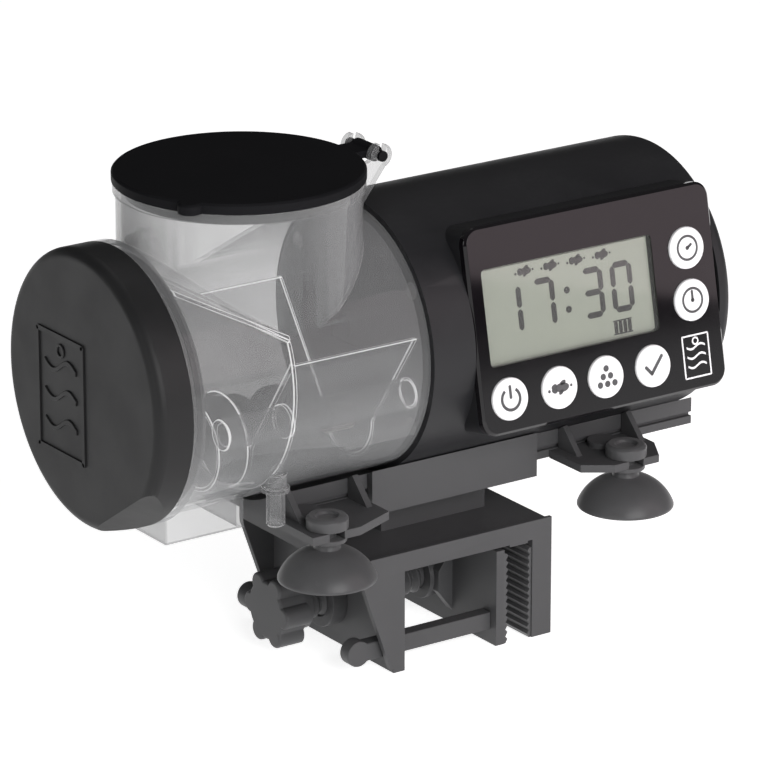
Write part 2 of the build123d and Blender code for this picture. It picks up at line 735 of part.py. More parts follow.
with BuildPart() as rail_screws:
    for x in rail_screw_x:
        with BuildSketch(Plane.XY.offset(rail_z + 0.1)):
            with Locations((x, 0)):
                Circle(small_head_r)
        extrude(amount=small_head - 0.1)
        with BuildSketch(Plane.XY.offset(rail_z + small_head)):
            with Locations((x, 0)):
                Circle(small_screw_r)
        extrude(amount=6.5)

arm_z = axis_z - arm_top - arm_thick
arms = {}
for name, low_x, cup, near, far in (("left", rail_left, cup_x[0], 0.0, 1.0),
                                    ("right", arm_right_x, cup_x[1], 1.0, 0.65)):
    high_x = low_x + arm_width
    with BuildPart() as arm:
        with BuildSketch(Plane.XY.offset(arm_z)):
            Polygon((low_x, -rail_half), (low_x, -arm_reach + arm_corner * near),
                    (low_x + 7.7 * near, -arm_reach),
                    (high_x - 12.6 + 7.6 * (1 - far) / 0.35, -arm_reach),
                    (high_x, -arm_reach + arm_corner + 3.4 * (1 - far) / 0.35), (high_x, -rail_half),
                    align=None)
            with Locations((cup, (cup_y - arm_reach) / 2 - 1)):
                Rectangle(slot_width, arm_reach + cup_y + 2, mode=Mode.SUBTRACT)
            with Locations((cup, cup_y)):
                Circle(slot_width / 2, mode=Mode.SUBTRACT)
        extrude(amount=arm_thick)
        with BuildSketch(Plane.XY.offset(arm_z + arm_thick)):
            with Locations((cup, cup_y + 10.4)):
                Circle(arm_boss_r)
        extrude(amount=1.6)
        for x in (low_x + 3.0, high_x - 1.5 - rib_thick):
            with BuildSketch(Plane.YZ.offset(x)):
                Polygon((-rail_half, arm_z + arm_thick), (-rail_half, axis_z - rail_top),
                        (-rail_half - 2.0, axis_z - rail_top),
                        (cup_y + cup_head_r + 0.4, arm_z + arm_thick), align=None)
            extrude(amount=rib_thick)
        disc(low_x, housing_r + saddle_play, arm_width, mode=Mode.SUBTRACT)
    arms["arm_" + name] = arm

cups = {}
rim_z = axis_z - cup_rim
hollow_top = rim_z + cup_bell - 2.4
hollow_r = ((cup_rim_r - 1.2) ** 2 + (hollow_top - rim_z) ** 2) / (2 * (hollow_top - rim_z))
half = asin((cup_rim_r - 1.2) / hollow_r) / 2
for name, x in zip(("left", "right"), cup_x):
    with BuildPart() as cup:
        with BuildSketch(Plane(origin=(x, cup_y, 0), x_dir=(1, 0, 0), z_dir=(0, -1, 0))):
            with BuildLine():
                top = arm_z + arm_thick
                Polyline((0, hollow_top), (0, top + cup_head - 1.0), (2.6, top + cup_head - 1.0),
                         (3.2, top + cup_head), (cup_head_r - 0.8, top + cup_head),
                         (cup_head_r, top + cup_head - 0.8), (cup_head_r, top + 0.05),
                         (cup_neck_r, top + 0.05), (cup_neck_r, arm_z - 0.05), (5.2, arm_z - 0.05),
                         (5.2, arm_z - 1.2),
                         (3.2, arm_z - 1.6), (3.6, rim_z + cup_bell))
                ThreePointArc((3.6, rim_z + cup_bell), (9.6, rim_z + 5.6), (cup_rim_r, rim_z + 0.6))
                Line((cup_rim_r, rim_z + 0.6), (cup_rim_r, rim_z))
                Line((cup_rim_r, rim_z), (cup_rim_r - 1.2, rim_z))
                ThreePointArc((cup_rim_r - 1.2, rim_z),
                              (hollow_r * sin(half), hollow_top - hollow_r * (1 - cos(half))),
                              (0, hollow_top))
            make_face()
        revolve(axis=Axis((x, cup_y, 0), (0, 0, 1)))
    cups["suction_cup_" + name] = cup

# ---- glass clamp --------------------------------------------------------------------------------
shoe_right = shoe_left + shoe_length
channel_half = rail_half + shoe_play
shoe_floor = rail_z - shoe_play
clamp_screw_x = (-26.0, -4.0)
with BuildPart() as clamp_shoe:
    block((shoe_left, shoe_right), (-channel_half - shoe_wall, channel_half + shoe_wall),
          (shoe_z, axis_z - rail_top - 0.2))
    block((shoe_left, shoe_right), (-channel_half, channel_half), (shoe_floor, axis_z), mode=Mode.SUBTRACT)
    disc(shoe_left, housing_r + 2 * shoe_play, shoe_length, mode=Mode.SUBTRACT)
    for side in (-1, 1):
        block((shoe_left, shoe_right),
              sorted((side * channel_half, side * (rail_half - groove_depth + 0.2))),
              (groove_z + 0.15, groove_z + groove_height - 0.15))
    for x in clamp_screw_x:
        with BuildSketch(Plane.XY.offset(shoe_z)):
            with Locations((x, 0)):
                Circle(small_screw_r)
        extrude(amount=5, mode=Mode.SUBTRACT)
        with BuildSketch(Plane.XY.offset(shoe_floor - small_head)):
            with Locations((x, 0)):
                Circle(small_head_r)
        extrude(amount=2, mode=Mode.SUBTRACT)

with BuildPart() as shoe_screws:
    for x in clamp_screw_x:
        with BuildSketch(Plane.XY.offset(shoe_floor - small_head)):
            with Locations((x, 0)):
                Circle(small_head_r)
        extrude(amount=small_head - 0.1)
        with BuildSketch(Plane.XY.offset(shoe_floor - small_head)):
            with Locations((x, 0)):
                Circle(small_screw_r)
        extrude(amount=-8.0)

fin_bottom = 1.0 - clamp_drop
slot_half = bar_width / 2 + bar_play
with BuildPart() as clamp_frame:
    block((clamp_left, clamp_right), (-clamp_half, clamp_half), (stop_height, clamp_top))
    block((-stop_half, stop_half), (-clamp_half, clamp_half), (0, clamp_top))
    block((clamp_wall_x, clamp_wall_x + clamp_wall), (-clamp_half, clamp_half), (-clamp_drop, clamp_top))
    block((fixed_wall_x, clamp_right), (-clamp_half, clamp_half), (-clamp_drop, clamp_top))
    block(clamp_neck, (-neck_half, neck_half), (clamp_top, shoe_z))
    for side in (-1, 1):
        with BuildSketch(along(side * clamp_half)):
            Polygon((clamp_left, stop_height), (clamp_wall_x, stop_height),
                    (clamp_wall_x, fin_bottom), (clamp_wall_x - 0.8, fin_bottom),
                    (clamp_left, stop_height - 1.0), align=None)
        extrude(amount=side * fin_thick)
        block((clamp_left, clamp_right), sorted((side * clamp_half, side * (clamp_half - lip_thick))),
              (clamp_top, clamp_top + lip_height))
        block((clamp_wall_x - 1, clamp_wall_x + clamp_wall + 1),
              sorted((side * (bar_y - slot_half), side * (bar_y + slot_half))),
              (bar_z - bar_height / 2 - bar_play, bar_z + bar_height / 2 + bar_play), mode=Mode.SUBTRACT)
    disc(clamp_wall_x, nut_r, clamp_wall, z=screw_z, mode=Mode.SUBTRACT)
    for x in clamp_screw_x:
        with BuildSketch(Plane.XY.offset(clamp_top)):
            with Locations((x, 0)):
                Circle(small_screw_r)
        extrude(amount=shoe_z - clamp_top, mode=Mode.SUBTRACT)

jaw_low = -clamp_drop
tooth_count = int((clamp_drop - 1.0) / tooth_pitch)


def jaw_pad(side, half):
    """Ribbed pad on the jaw at x = side * fixed_wall_x, with ribs along Y from -half to half."""
    back = side * fixed_wall_x
    root = side * (jaw_face + tooth_depth)
    tip = side * jaw_face
    points = [(back, jaw_low), (root, jaw_low)]
    for tooth in range(tooth_count):
        z = jaw_low + tooth_pitch * tooth
        points += [(tip, z + 0.6 * tooth_pitch), (root, z + tooth_pitch)]
    points.append((back, jaw_low + tooth_pitch * tooth_count))
    with BuildSketch(along(half)) as outline:
        Polygon(*points, align=None)
    extrude(outline.sketch, amount=2 * half)


with BuildPart() as fixed_jaw_pad:
    jaw_pad(1, clamp_half - 0.4)

with BuildPart() as moving_jaw_pad:
    jaw_pad(-1, clamp_half - 0.4)

socket_left = jaw_left - socket_length
with BuildPart() as movable_jaw:
    block((jaw_left, -fixed_wall_x), (-clamp_half + 0.2, clamp_half - 0.2), (jaw_low, -jaw_lift))
    disc(socket_left, socket_r, socket_length, z=screw_z)
    for side in (-1, 1):
        with BuildSketch(along(side * 9.0)):
            Polygon((jaw_left - 4.5, screw_z - 3), (jaw_left, screw_z - 9), (jaw_left, screw_z + 9),
                    (jaw_left - 4.5, screw_z + 3), align=None)
        extrude(amount=side * 3.0)
    disc(socket_left, swivel_r + run_play, socket_length, z=screw_z, mode=Mode.SUBTRACT)

with BuildPart() as guide_bars:
    for side in (-1, 1):
        block((bar_left, jaw_left), (side * bar_y - bar_width / 2, side * bar_y + bar_width / 2),
              (bar_z - bar_height / 2, bar_z + bar_height / 2))
        with BuildSketch(along(side * bar_y + bar_width / 2)):
            with Locations((bar_left, bar_z)):
                Circle(bar_end_r)
        extrude(amount=bar_width)

nut_left = clamp_wall_x - nut_flange
with BuildPart() as clamp_nut:
    disc(nut_left, nut_flange_r, nut_flange, z=screw_z)
    disc(clamp_wall_x, nut_r, clamp_wall + 1.5, z=screw_z)
    disc(nut_left, screw_r + run_play, nut_flange + clamp_wall + 1.5, z=screw_z, mode=Mode.SUBTRACT)

with BuildPart() as clamp_spindle:
    disc(knob_left + 2, screw_r, socket_left - 0.2 - knob_left - 2, z=screw_z)
    disc(socket_left - 0.2, swivel_r, socket_length, z=screw_z)

with BuildPart() as clamp_knob:
    with BuildSketch(across(knob_left)):
        with Locations((0, screw_z)):
            Circle(knob_r - knob_lobe_r + 0.6)
            with PolarLocations(knob_r - knob_lobe_r, knob_lobes):
                Circle(knob_lobe_r)
    extrude(amount=knob_length - 3)
    fillet(clamp_knob.edges().group_by(Axis.X)[0], 0.8)
    disc(knob_left + knob_length - 3, 7.0, 3, z=screw_z)
    disc(knob_left + 2, screw_r, knob_length, z=screw_z, mode=Mode.SUBTRACT)

# ---- labels and files ---------------------------------------------------------------------------
pieces = {
    "end_cap": end_cap, "cap_seal": cap_seal, "food_container": food_container,
    "hopper_insert": hopper_insert, "hopper_ramp": hopper_ramp, "air_duct": air_duct,
    "air_nozzle": air_nozzle, "lid": lid, "lid_seal": lid_seal, "auger": auger,
    "drive_coupling": drive_coupling, "output_gear": output_gear, "idler_gear": idler_gear,
    "motor_pinion": motor_pinion, "idler_axle": idler_axle, "gear_plate": gear_plate,
    "drive_motor": drive_motor, "shaft_seal": shaft_seal, "housing_shell": housing_shell,
    "housing_end": housing_end, "case_screws": case_screws, "panel_bezel": panel_bezel,
    "display_window": display_window, "lcd_module": lcd_module, "control_board": control_board,
    "switch_domes": switch_domes, "battery_tray": battery_tray, "battery_cells": battery_cells,
    "battery_contacts": battery_contacts, "battery_springs": battery_springs,
    "battery_door": battery_door, "holder_rail": holder_rail, "rail_screws": rail_screws,
    "clamp_shoe": clamp_shoe, "shoe_screws": shoe_screws, "clamp_frame": clamp_frame,
    "fixed_jaw_pad": fixed_jaw_pad, "moving_jaw_pad": moving_jaw_pad, "movable_jaw": movable_jaw,
    "guide_bars": guide_bars, "clamp_nut": clamp_nut, "clamp_spindle": clamp_spindle,
    "clamp_knob": clamp_knob,
}
pieces.update(buttons)
pieces.update(arms)
pieces.update(cups)
for name, piece in pieces.items():
    piece.part.label = name
    export_step(piece.part, f"parts/{name}.step")
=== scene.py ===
"""Looks of the automatic fish feeder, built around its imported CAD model."""
import json
from math import atan2, cos, pi, radians, sin

import bmesh
import bpy
from bpy.props import FloatProperty, FloatVectorProperty, PointerProperty
from mathutils import Matrix, Vector


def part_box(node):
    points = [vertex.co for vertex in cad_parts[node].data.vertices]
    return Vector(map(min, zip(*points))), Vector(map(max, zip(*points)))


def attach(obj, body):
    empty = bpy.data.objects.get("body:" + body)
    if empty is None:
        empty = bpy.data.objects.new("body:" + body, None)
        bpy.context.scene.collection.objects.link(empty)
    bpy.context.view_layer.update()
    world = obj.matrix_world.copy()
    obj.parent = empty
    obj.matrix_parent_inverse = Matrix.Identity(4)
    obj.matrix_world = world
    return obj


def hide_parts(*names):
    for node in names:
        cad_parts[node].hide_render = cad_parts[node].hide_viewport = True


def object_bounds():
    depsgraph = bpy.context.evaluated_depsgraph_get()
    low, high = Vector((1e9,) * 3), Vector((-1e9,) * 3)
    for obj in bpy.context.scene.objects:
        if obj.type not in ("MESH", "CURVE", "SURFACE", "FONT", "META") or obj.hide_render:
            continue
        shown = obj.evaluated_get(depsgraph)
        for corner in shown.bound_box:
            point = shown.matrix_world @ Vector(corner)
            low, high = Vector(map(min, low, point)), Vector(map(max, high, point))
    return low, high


bl_info = {
    "name": "Automatic fish feeder",
    "version": (1, 0, 0),
    "blender": (4, 5, 0),
    "location": "View3D > Sidebar > Feeder",
    "description": "Builds the visible pieces, materials, lights and camera of an aquarium feeder",
    "category": "Object",
}

MM = 0.001
MERGE = 0.002 * MM         # vertices this close in a CAD mesh are one
FLAT_TURN = 0.6            # degrees between triangles of one flat face
VIEW_LEFT, VIEW_ABOVE = 34.5, 19.1            # degrees the camera stands to the left and above
VIEW_TARGET = (-24.8, 0.0, 43.3)              # mm, what the camera looks at
VIEW_WIDTH = 203.2                            # mm across the view at the target
SENSOR = 36.0
SPLIT_LEFT, SPLIT_RIGHT = 12.8, 33.0          # mm down the panel where its mirrored light ends
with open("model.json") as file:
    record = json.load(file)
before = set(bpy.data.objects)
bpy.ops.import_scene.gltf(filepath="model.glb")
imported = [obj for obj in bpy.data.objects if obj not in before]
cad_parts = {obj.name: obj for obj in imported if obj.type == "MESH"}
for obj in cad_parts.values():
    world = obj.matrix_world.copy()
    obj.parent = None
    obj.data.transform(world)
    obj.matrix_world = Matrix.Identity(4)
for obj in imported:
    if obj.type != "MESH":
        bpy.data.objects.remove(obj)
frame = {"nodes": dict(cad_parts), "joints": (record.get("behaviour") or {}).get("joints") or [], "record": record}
cad_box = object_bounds()
nodes = frame["nodes"]
node_body = {n: body for body, names in frame["record"]["behaviour"]["bodies"].items() for n in names}
node_slot = {part["node"]: part["material_slot"] for part in frame["record"]["subparts"]}


# ---- settings -----------------------------------------------------------------------------------
def colour(name, text, value):
    """A colour setting in linear light."""
    return FloatVectorProperty(name=name, description=text, default=value, size=3, subtype="COLOR",
                               min=0.0, max=1.0)


def length(name, text, value):
    """A length setting, stored in metres."""
    return FloatProperty(name=name, description=text, default=value, min=0.0, unit="LENGTH", precision=5)


class FeederColours(bpy.types.PropertyGroup):
    """Colours of the feeder's mouldings."""
    housing: colour("Housing", "Moulded drive housing", (0.0125, 0.0125, 0.014))
    cap: colour("End cap", "Moulded end cap", (0.0125, 0.0125, 0.013))
    lid: colour("Lid", "Hopper lid", (0.008, 0.008, 0.009))
    holder: colour("Holder", "Rail, arms and clamp", (0.058, 0.058, 0.060))
    rubber: colour("Suction cups", "Soft rubber", (0.060, 0.060, 0.062))
    panel: colour("Panel", "Gloss front panel", (0.0022, 0.0014, 0.0024))
    screen: colour("Screen", "Unlit liquid crystal", (0.26, 0.282, 0.232))
    print_ink: colour("Ink", "Printing on the buttons", (0.075, 0.075, 0.078))


class FeederSizes(bpy.types.PropertyGroup):
    """Sizes that belong to the finish."""
    soft_edge: length("Soft edge", "Rounding of moulded edges", 0.35 * MM)
    # The rounded edges of this width on the clear mouldings carry the white glowing edge material: a painted
    # highlight.
    clear_edge: length("Clear edge", "Width of the polished edges of clear mouldings", 0.45 * MM)
    relief: length("Relief", "Height of raised marks", 0.45 * MM)
    thread_pitch: length("Thread pitch", "Pitch of the clamp screw", 3.0 * MM)
    lens: FloatProperty(name="Lens", description="Focal length", default=250.0, unit="CAMERA")


def colours():
    """The scene's colour settings."""
    return bpy.context.scene.feeder_colours


def sizes():
    """The scene's size settings."""
    return bpy.context.scene.feeder_sizes


# ---- mesh helpers -------------------------------------------------------------------------------
def only(obj):
    """Makes obj the one selected and active object."""
    bpy.ops.object.select_all(action="DESELECT")
    obj.select_set(True)
    bpy.context.view_layer.objects.active = obj


def pick(obj, kind, test):
    """In edit mode, selects just the vertices, edges or faces that pass the test."""
    mesh = bmesh.from_edit_mesh(obj.data)
    bpy.ops.mesh.select_mode(type={"verts": "VERT", "edges": "EDGE", "faces": "FACE"}[kind])
    bpy.ops.mesh.select_all(action="DESELECT")
    for element in getattr(mesh, kind):
        if test(element):
            element.select_set(True)
    mesh.select_flush_mode()
    bmesh.update_edit_mesh(obj.data)


def sharp(angle):
    """A test for edges that turn by more than angle degrees."""
    limit = radians(angle)
    return lambda edge: len(edge.link_faces) == 2 and edge.calc_face_angle(0.0) > limit


def settle(obj, name, body, material, smooth=30, replaces=()):
    """Names a finished piece, puts its place into its mesh and ties it to its body."""
    only(obj)
    bpy.ops.object.transform_apply(location=True, rotation=True, scale=True)
    bpy.ops.object.shade_smooth_by_angle(angle=radians(smooth))
    obj.name = name
    obj.data.name = name
    if material:
        obj.data.materials.clear()
        obj.data.materials.append(material)
    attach(obj, body)
    if replaces:
        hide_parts(*replaces)
    return obj


def moulded_copy(node, material, edge=None, edge_highlight_material=None, angle=28, segments=2):
    """A merged copy of a CAD node whose sharp edges are rounded, which stands for the node."""
    source = nodes[node]
    obj = bpy.data.objects.new(node + "_shell", source.data.copy())
    bpy.context.scene.collection.objects.link(obj)
    obj.data.materials.clear()
    obj.data.materials.append(material)
    if edge_highlight_material:
        obj.data.materials.append(edge_highlight_material)
    only(obj)
    bpy.ops.object.mode_set(mode="EDIT")
    bpy.ops.mesh.select_all(action="SELECT")
    bpy.ops.mesh.customdata_custom_splitnormals_clear()
    bpy.ops.mesh.remove_doubles(threshold=MERGE)
    bpy.ops.mesh.dissolve_limited(angle_limit=radians(FLAT_TURN), delimit=set())
    for face in bmesh.from_edit_mesh(obj.data).faces:
        face.material_index = 0
    width = sizes().soft_edge if edge is None else edge
    if width > 0:
        # With an edge material, the rounded faces take it; on the clear pieces that material glows white as a
        # painted highlight.
        pick(obj, "edges", sharp(angle))
        bpy.ops.mesh.bevel(offset=width, segments=segments, profile=0.5, clamp_overlap=True,
                           material=1 if edge_highlight_material else -1)
    bpy.ops.object.mode_set(mode="OBJECT")
    settle(obj, node + "_shell", node_body[node], None, replaces=(node,))
    apply_modifier(obj, "WEIGHTED_NORMAL", mode="FACE_AREA", weight=100, keep_sharp=True)
    return obj


def apply_modifier(obj, kind, **values):
    """Adds a modifier with these values and applies it."""
    only(obj)
    modifier = obj.modifiers.new(kind, kind)
    for key, value in values.items():
        setattr(modifier, key, value)
    bpy.ops.object.modifier_apply(modifier=modifier.name)


def join(pieces):
    """Joins pieces into the first one."""
    only(pieces[0])
    for piece in pieces[1:]:
        piece.select_set(True)
    if len(pieces) > 1:
        bpy.ops.object.join()
    return pieces[0]


def bar(start, end, width, thick, pointed=False):
    """A flat bar between two points of the drawing plane, with rounded or pointed ends."""
    middle = ((start[0] + end[0]) / 2, (start[1] + end[1]) / 2, thick / 2)
    run = Vector((end[0] - start[0], end[1] - start[1]))
    bpy.ops.mesh.primitive_cube_add(size=1, location=middle, rotation=(0, 0, atan2(run.y, run.x)))
    obj = bpy.context.object
    obj.scale = (run.length + width * 0.6, width, thick)
    bpy.ops.object.transform_apply(location=True, rotation=True, scale=True)
    bpy.ops.object.mode_set(mode="EDIT")
    upright = lambda edge: abs((edge.verts[0].co - edge.verts[1].co).normalized().z) > 0.9
    pick(obj, "edges", upright)
    bpy.ops.mesh.bevel(offset=width * 0.42, segments=1 if pointed else 3)
    bpy.ops.object.mode_set(mode="OBJECT")
    return obj


def dot(place, r, thick, flat=1.0, turn=0.0, vertices=24):
    """A flat disc, or an ellipse if flat isn't 1."""
    bpy.ops.mesh.primitive_cylinder_add(vertices=vertices, radius=r, depth=thick,
                                        location=(place[0], place[1], thick / 2), rotation=(0, 0, turn))
    obj = bpy.context.object
    obj.scale = (1, flat, 1)
    bpy.ops.object.transform_apply(location=True, rotation=True, scale=True)
    bpy.ops.object.mode_set(mode="EDIT")
    pick(obj, "edges", lambda edge: min(vertex.co.z for vertex in edge.verts) > thick * 0.9)
    bpy.ops.mesh.bevel(offset=min(thick, r) * 0.3, segments=1)
    bpy.ops.object.mode_set(mode="OBJECT")
    return obj


def ring(place, r, width, thick, gap=0.0):
    """A flat ring, open at its top by the angle gap."""
    bpy.ops.mesh.primitive_torus_add(location=(place[0], place[1], thick / 2), major_radius=r,
                                     minor_radius=width / 2, major_segments=40, minor_segments=8)
    obj = bpy.context.object
    obj.scale = (1, 1, thick / width)
    bpy.ops.object.transform_apply(location=True, rotation=True, scale=True)
    if gap:
        bpy.ops.object.mode_set(mode="EDIT")
        inside = lambda face: abs(atan2(face.calc_center_median().x - place[0],
                                        face.calc_center_median().y - place[1])) < gap / 2
        pick(obj, "faces", inside)
        bpy.ops.mesh.delete(type="FACE")
        bpy.ops.mesh.select_mode(type="EDGE")
        bpy.ops.mesh.select_non_manifold()
        bpy.ops.mesh.edge_face_add()
        bpy.ops.object.mode_set(mode="OBJECT")
    return obj


def waves(width, height, line, thick, count=3):
    """Wave lines one above the other, each a strip bent along a sine and raised."""
    made = []
    for row in range(count):
        y = height * (row / (count - 1) - 0.5)
        bpy.ops.mesh.primitive_grid_add(x_subdivisions=28, y_subdivisions=1, size=1)
        strip = bpy.context.object
        strip.scale = (width, line, 1)
        bpy.ops.object.transform_apply(location=True, rotation=True, scale=True)
        for vertex in strip.data.vertices:
            turn = 2 * pi * vertex.co.x / width
            vertex.co.y += y + 0.11 * height * sin(turn)
        bpy.ops.object.mode_set(mode="EDIT")
        bpy.ops.mesh.select_all(action="SELECT")
        bpy.ops.mesh.extrude_region_move(TRANSFORM_OT_translate={"value": (0, 0, thick)})
        bpy.ops.mesh.select_all(action="SELECT")
        bpy.ops.mesh.normals_make_consistent(inside=False)
        pick(strip, "edges", lambda edge: min(vertex.co.z for vertex in edge.verts) > thick * 0.9
             and edge.calc_face_angle(0.0) > 1.0)
        bpy.ops.mesh.bevel(offset=min(thick, line) * 0.3, segments=1)
        bpy.ops.object.mode_set(mode="OBJECT")
        made.append(strip)
    return made


def place_on(obj, matrix):
    """Moves a drawing from the drawing plane to its place."""
    obj.matrix_world = matrix @ obj.matrix_world
    only(obj)
    bpy.ops.object.transform_apply(location=True, rotation=True, scale=True)


# ---- the panel's own frame ----------------------------------------------------------------------
press = next(joint for joint in frame["joints"] if joint["name"] == "press_power")
panel_out = -Vector(press["axis"]).normalized()
panel_across = Vector((1, 0, 0))
panel_up = panel_out.cross(panel_across)
panel_axes = Matrix((panel_across, panel_up, panel_out))


def panel_span(node):
    """Lowest and highest corner of a node in the panel's axes: across, up and out."""
    places = [panel_axes @ vertex.co for vertex in nodes[node].data.vertices]
    low = Vector([min(place[i] for place in places) for i in range(3)])
    high = Vector([max(place[i] for place in places) for i in range(3)])
    return low, high


def panel_matrix(across, up, out):
    """Matrix from the drawing plane to a point given in the panel's axes."""
    turn = panel_axes.transposed()
    return Matrix.Translation(turn @ Vector((across, up, out))) @ turn.to_4x4()


# ---- shared shader effects ----------------------------------------------------------------------
def effect_group(name, inputs, outputs):
    """An empty shader node group with these sockets."""
    group = bpy.data.node_groups.new(name, "ShaderNodeTree")
    for socket, value in inputs:
        item = group.interface.new_socket(socket, in_out="INPUT", socket_type="NodeSocketFloat")
        item.default_value = value
    for socket, kind in outputs:
        group.interface.new_socket(socket, in_out="OUTPUT", socket_type=kind)
    return group


def noise(tree, coordinates, scale, detail, rough=0.5):
    """A noise texture on these coordinates."""
    texture = tree.nodes.new("ShaderNodeTexNoise")
    texture.inputs["Detail"].default_value = detail
    texture.inputs["Roughness"].default_value = rough
    tree.links.new(coordinates, texture.inputs["Vector"])
    if isinstance(scale, (int, float)):
        texture.inputs["Scale"].default_value = scale
    else:
        tree.links.new(scale, texture.inputs["Scale"])
    return texture.outputs["Fac"]


def remap(tree, value, low, high, to_low, to_high):
    """Maps value from low..high to to_low..to_high."""
    node = tree.nodes.new("ShaderNodeMapRange")
    tree.links.new(value, node.inputs["Value"])
    for socket, setting in zip(("From Min", "From Max", "To Min", "To Max"), (low, high, to_low, to_high)):
        if isinstance(setting, (int, float)):
            node.inputs[socket].default_value = setting
        else:
            tree.links.new(setting, node.inputs[socket])
    return node.outputs["Result"]


def maths(tree, operation, first, second):
    """One math node."""
    node = tree.nodes.new("ShaderNodeMath")
    node.operation = operation
    for socket, setting in zip(node.inputs, (first, second)):
        if isinstance(setting, (int, float)):
            socket.default_value = setting
        else:
            tree.links.new(setting, socket)
    return node.outputs[0]


def moulding_effect():
    """Spark-eroded mould grain, handling marks and settled dust, as masks and a height."""
    group = effect_group("Moulding", [("Grain Scale", 2600.0), ("Mark Scale", 60.0)],
                         [("Height", "NodeSocketFloat"), ("Marks", "NodeSocketFloat"),
                          ("Dust", "NodeSocketFloat"), ("Rub", "NodeSocketFloat")])
    nodes_in = group.nodes.new("NodeGroupInput")
    nodes_out = group.nodes.new("NodeGroupOutput")
    places = group.nodes.new("ShaderNodeTexCoord").outputs["Object"]
    grain = noise(group, places, nodes_in.outputs["Grain Scale"], 3.0, 0.65)
    marks = noise(group, places, nodes_in.outputs["Mark Scale"], 5.0, 0.6)
    speck = noise(group, places, 900.0, 2.0, 0.5)
    geometry = group.nodes.new("ShaderNodeNewGeometry")
    split = group.nodes.new("ShaderNodeSeparateXYZ")
    group.links.new(geometry.outputs["Normal"], split.inputs[0])
    upward = remap(group, split.outputs["Z"], 0.3, 1.0, 0.0, 1.0)
    dust = maths(group, "MULTIPLY", upward, remap(group, marks, 0.4, 0.75, 0.1, 1.0))
    rub = remap(group, geometry.outputs["Pointiness"], 0.505, 0.56, 0.0, 1.0)
    group.links.new(grain, nodes_out.inputs["Height"])
    group.links.new(remap(group, marks, 0.35, 0.7, 0.0, 1.0), nodes_out.inputs["Marks"])
    group.links.new(maths(group, "MULTIPLY", dust, remap(group, speck, 0.5, 0.7, 0.3, 1.0)),
                    nodes_out.inputs["Dust"])
    group.links.new(rub, nodes_out.inputs["Rub"])
    return group


def blank_material(name):
    """A material with a Principled shader and its node tree."""
    material = bpy.data.materials.new(name)
    material.use_nodes = True
    return material, material.node_tree, material.node_tree.nodes["Principled BSDF"]


def mixed(tree, factor, first, second):
    """A colour between two fixed colours or sockets, by factor."""
    node = tree.nodes.new("ShaderNodeMix")
    node.data_type = "RGBA"
    tree.links.new(factor, node.inputs["Factor"])
    for socket, setting in ((node.inputs[6], first), (node.inputs[7], second)):
        if isinstance(setting, (tuple, list)):
            socket.default_value = (*setting[:3], 1.0)
        else:
            tree.links.new(setting, socket)
    return node.outputs[2]


def bump(tree, shader, height, strength, distance):
    """Bump from a height on the shader's normal."""
    node = tree.nodes.new("ShaderNodeBump")
    node.inputs["Strength"].default_value = strength
    node.inputs["Distance"].default_value = distance
    tree.links.new(height, node.inputs["Height"])
    tree.links.new(node.outputs["Normal"], shader.inputs["Normal"])


def moulded(name, base, rough=(0.42, 0.55), grain=2600.0, depth=0.12, dust=0.05, rub=0.25, sheen=0.0,
            coat=0.0, shine=0.25):
    """Moulded plastic or rubber: grain, uneven gloss, faint dust and rubbed edges."""
    material, tree, shader = blank_material(name)
    effect = tree.nodes.new("ShaderNodeGroup")
    effect.node_tree = bpy.data.node_groups.get("Moulding") or moulding_effect()
    effect.inputs["Grain Scale"].default_value = grain
    lighter = tuple(min(1.0, c * 1.35 + 0.003) for c in base)
    pale = tuple(c * 0.5 + 0.12 for c in base)
    body = mixed(tree, maths(tree, "MULTIPLY", effect.outputs["Marks"], 0.35), tuple(base), lighter)
    dusty = mixed(tree, maths(tree, "MULTIPLY", effect.outputs["Dust"], dust), body, pale)
    tree.links.new(mixed(tree, maths(tree, "MULTIPLY", effect.outputs["Rub"], rub), dusty, lighter),
                   shader.inputs["Base Color"])
    tree.links.new(remap(tree, effect.outputs["Marks"], 0.0, 1.0, rough[0], rough[1]),
                   shader.inputs["Roughness"])
    shader.inputs["Specular IOR Level"].default_value = shine
    shader.inputs["Sheen Weight"].default_value = sheen
    shader.inputs["Coat Weight"].default_value = coat
    shader.inputs["Coat Roughness"].default_value = 0.05
    bump(tree, shader, effect.outputs["Height"], depth, 0.05 * MM)
    return material


def clear_moulding(name, tint, low, high, rough=0.06, glow=0.0):
    """Clear moulded plastic, thinner to look at face on than at its edges."""
    material, tree, shader = blank_material(name)
    effect = tree.nodes.new("ShaderNodeGroup")
    effect.node_tree = bpy.data.node_groups.get("Moulding") or moulding_effect()
    effect.inputs["Grain Scale"].default_value = 500.0
    facing = tree.nodes.new("ShaderNodeLayerWeight")
    facing.inputs["Blend"].default_value = 0.32
    cloudy = maths(tree, "MULTIPLY", effect.outputs["Marks"], 0.03)
    alpha = remap(tree, facing.outputs["Facing"], 0.1, 1.0, low, high)
    tree.links.new(maths(tree, "ADD", alpha, cloudy), shader.inputs["Alpha"])
    tree.links.new(mixed(tree, effect.outputs["Marks"], tint, tuple(c * 0.94 for c in tint)),
                   shader.inputs["Base Color"])
    tree.links.new(remap(tree, effect.outputs["Marks"], 0.0, 1.0, rough, rough * 1.8),
                   shader.inputs["Roughness"])
    shader.inputs["IOR"].default_value = 1.49
    # The glow gives the piece white light of its own: a painted highlight, used for the bright edges of the clear
    # mouldings.
    if glow:
        shader.inputs["Emission Color"].default_value = (1.0, 1.0, 1.0, 1.0)
        shader.inputs["Emission Strength"].default_value = glow
    bump(tree, shader, effect.outputs["Height"], 0.03, 0.05 * MM)
    return material


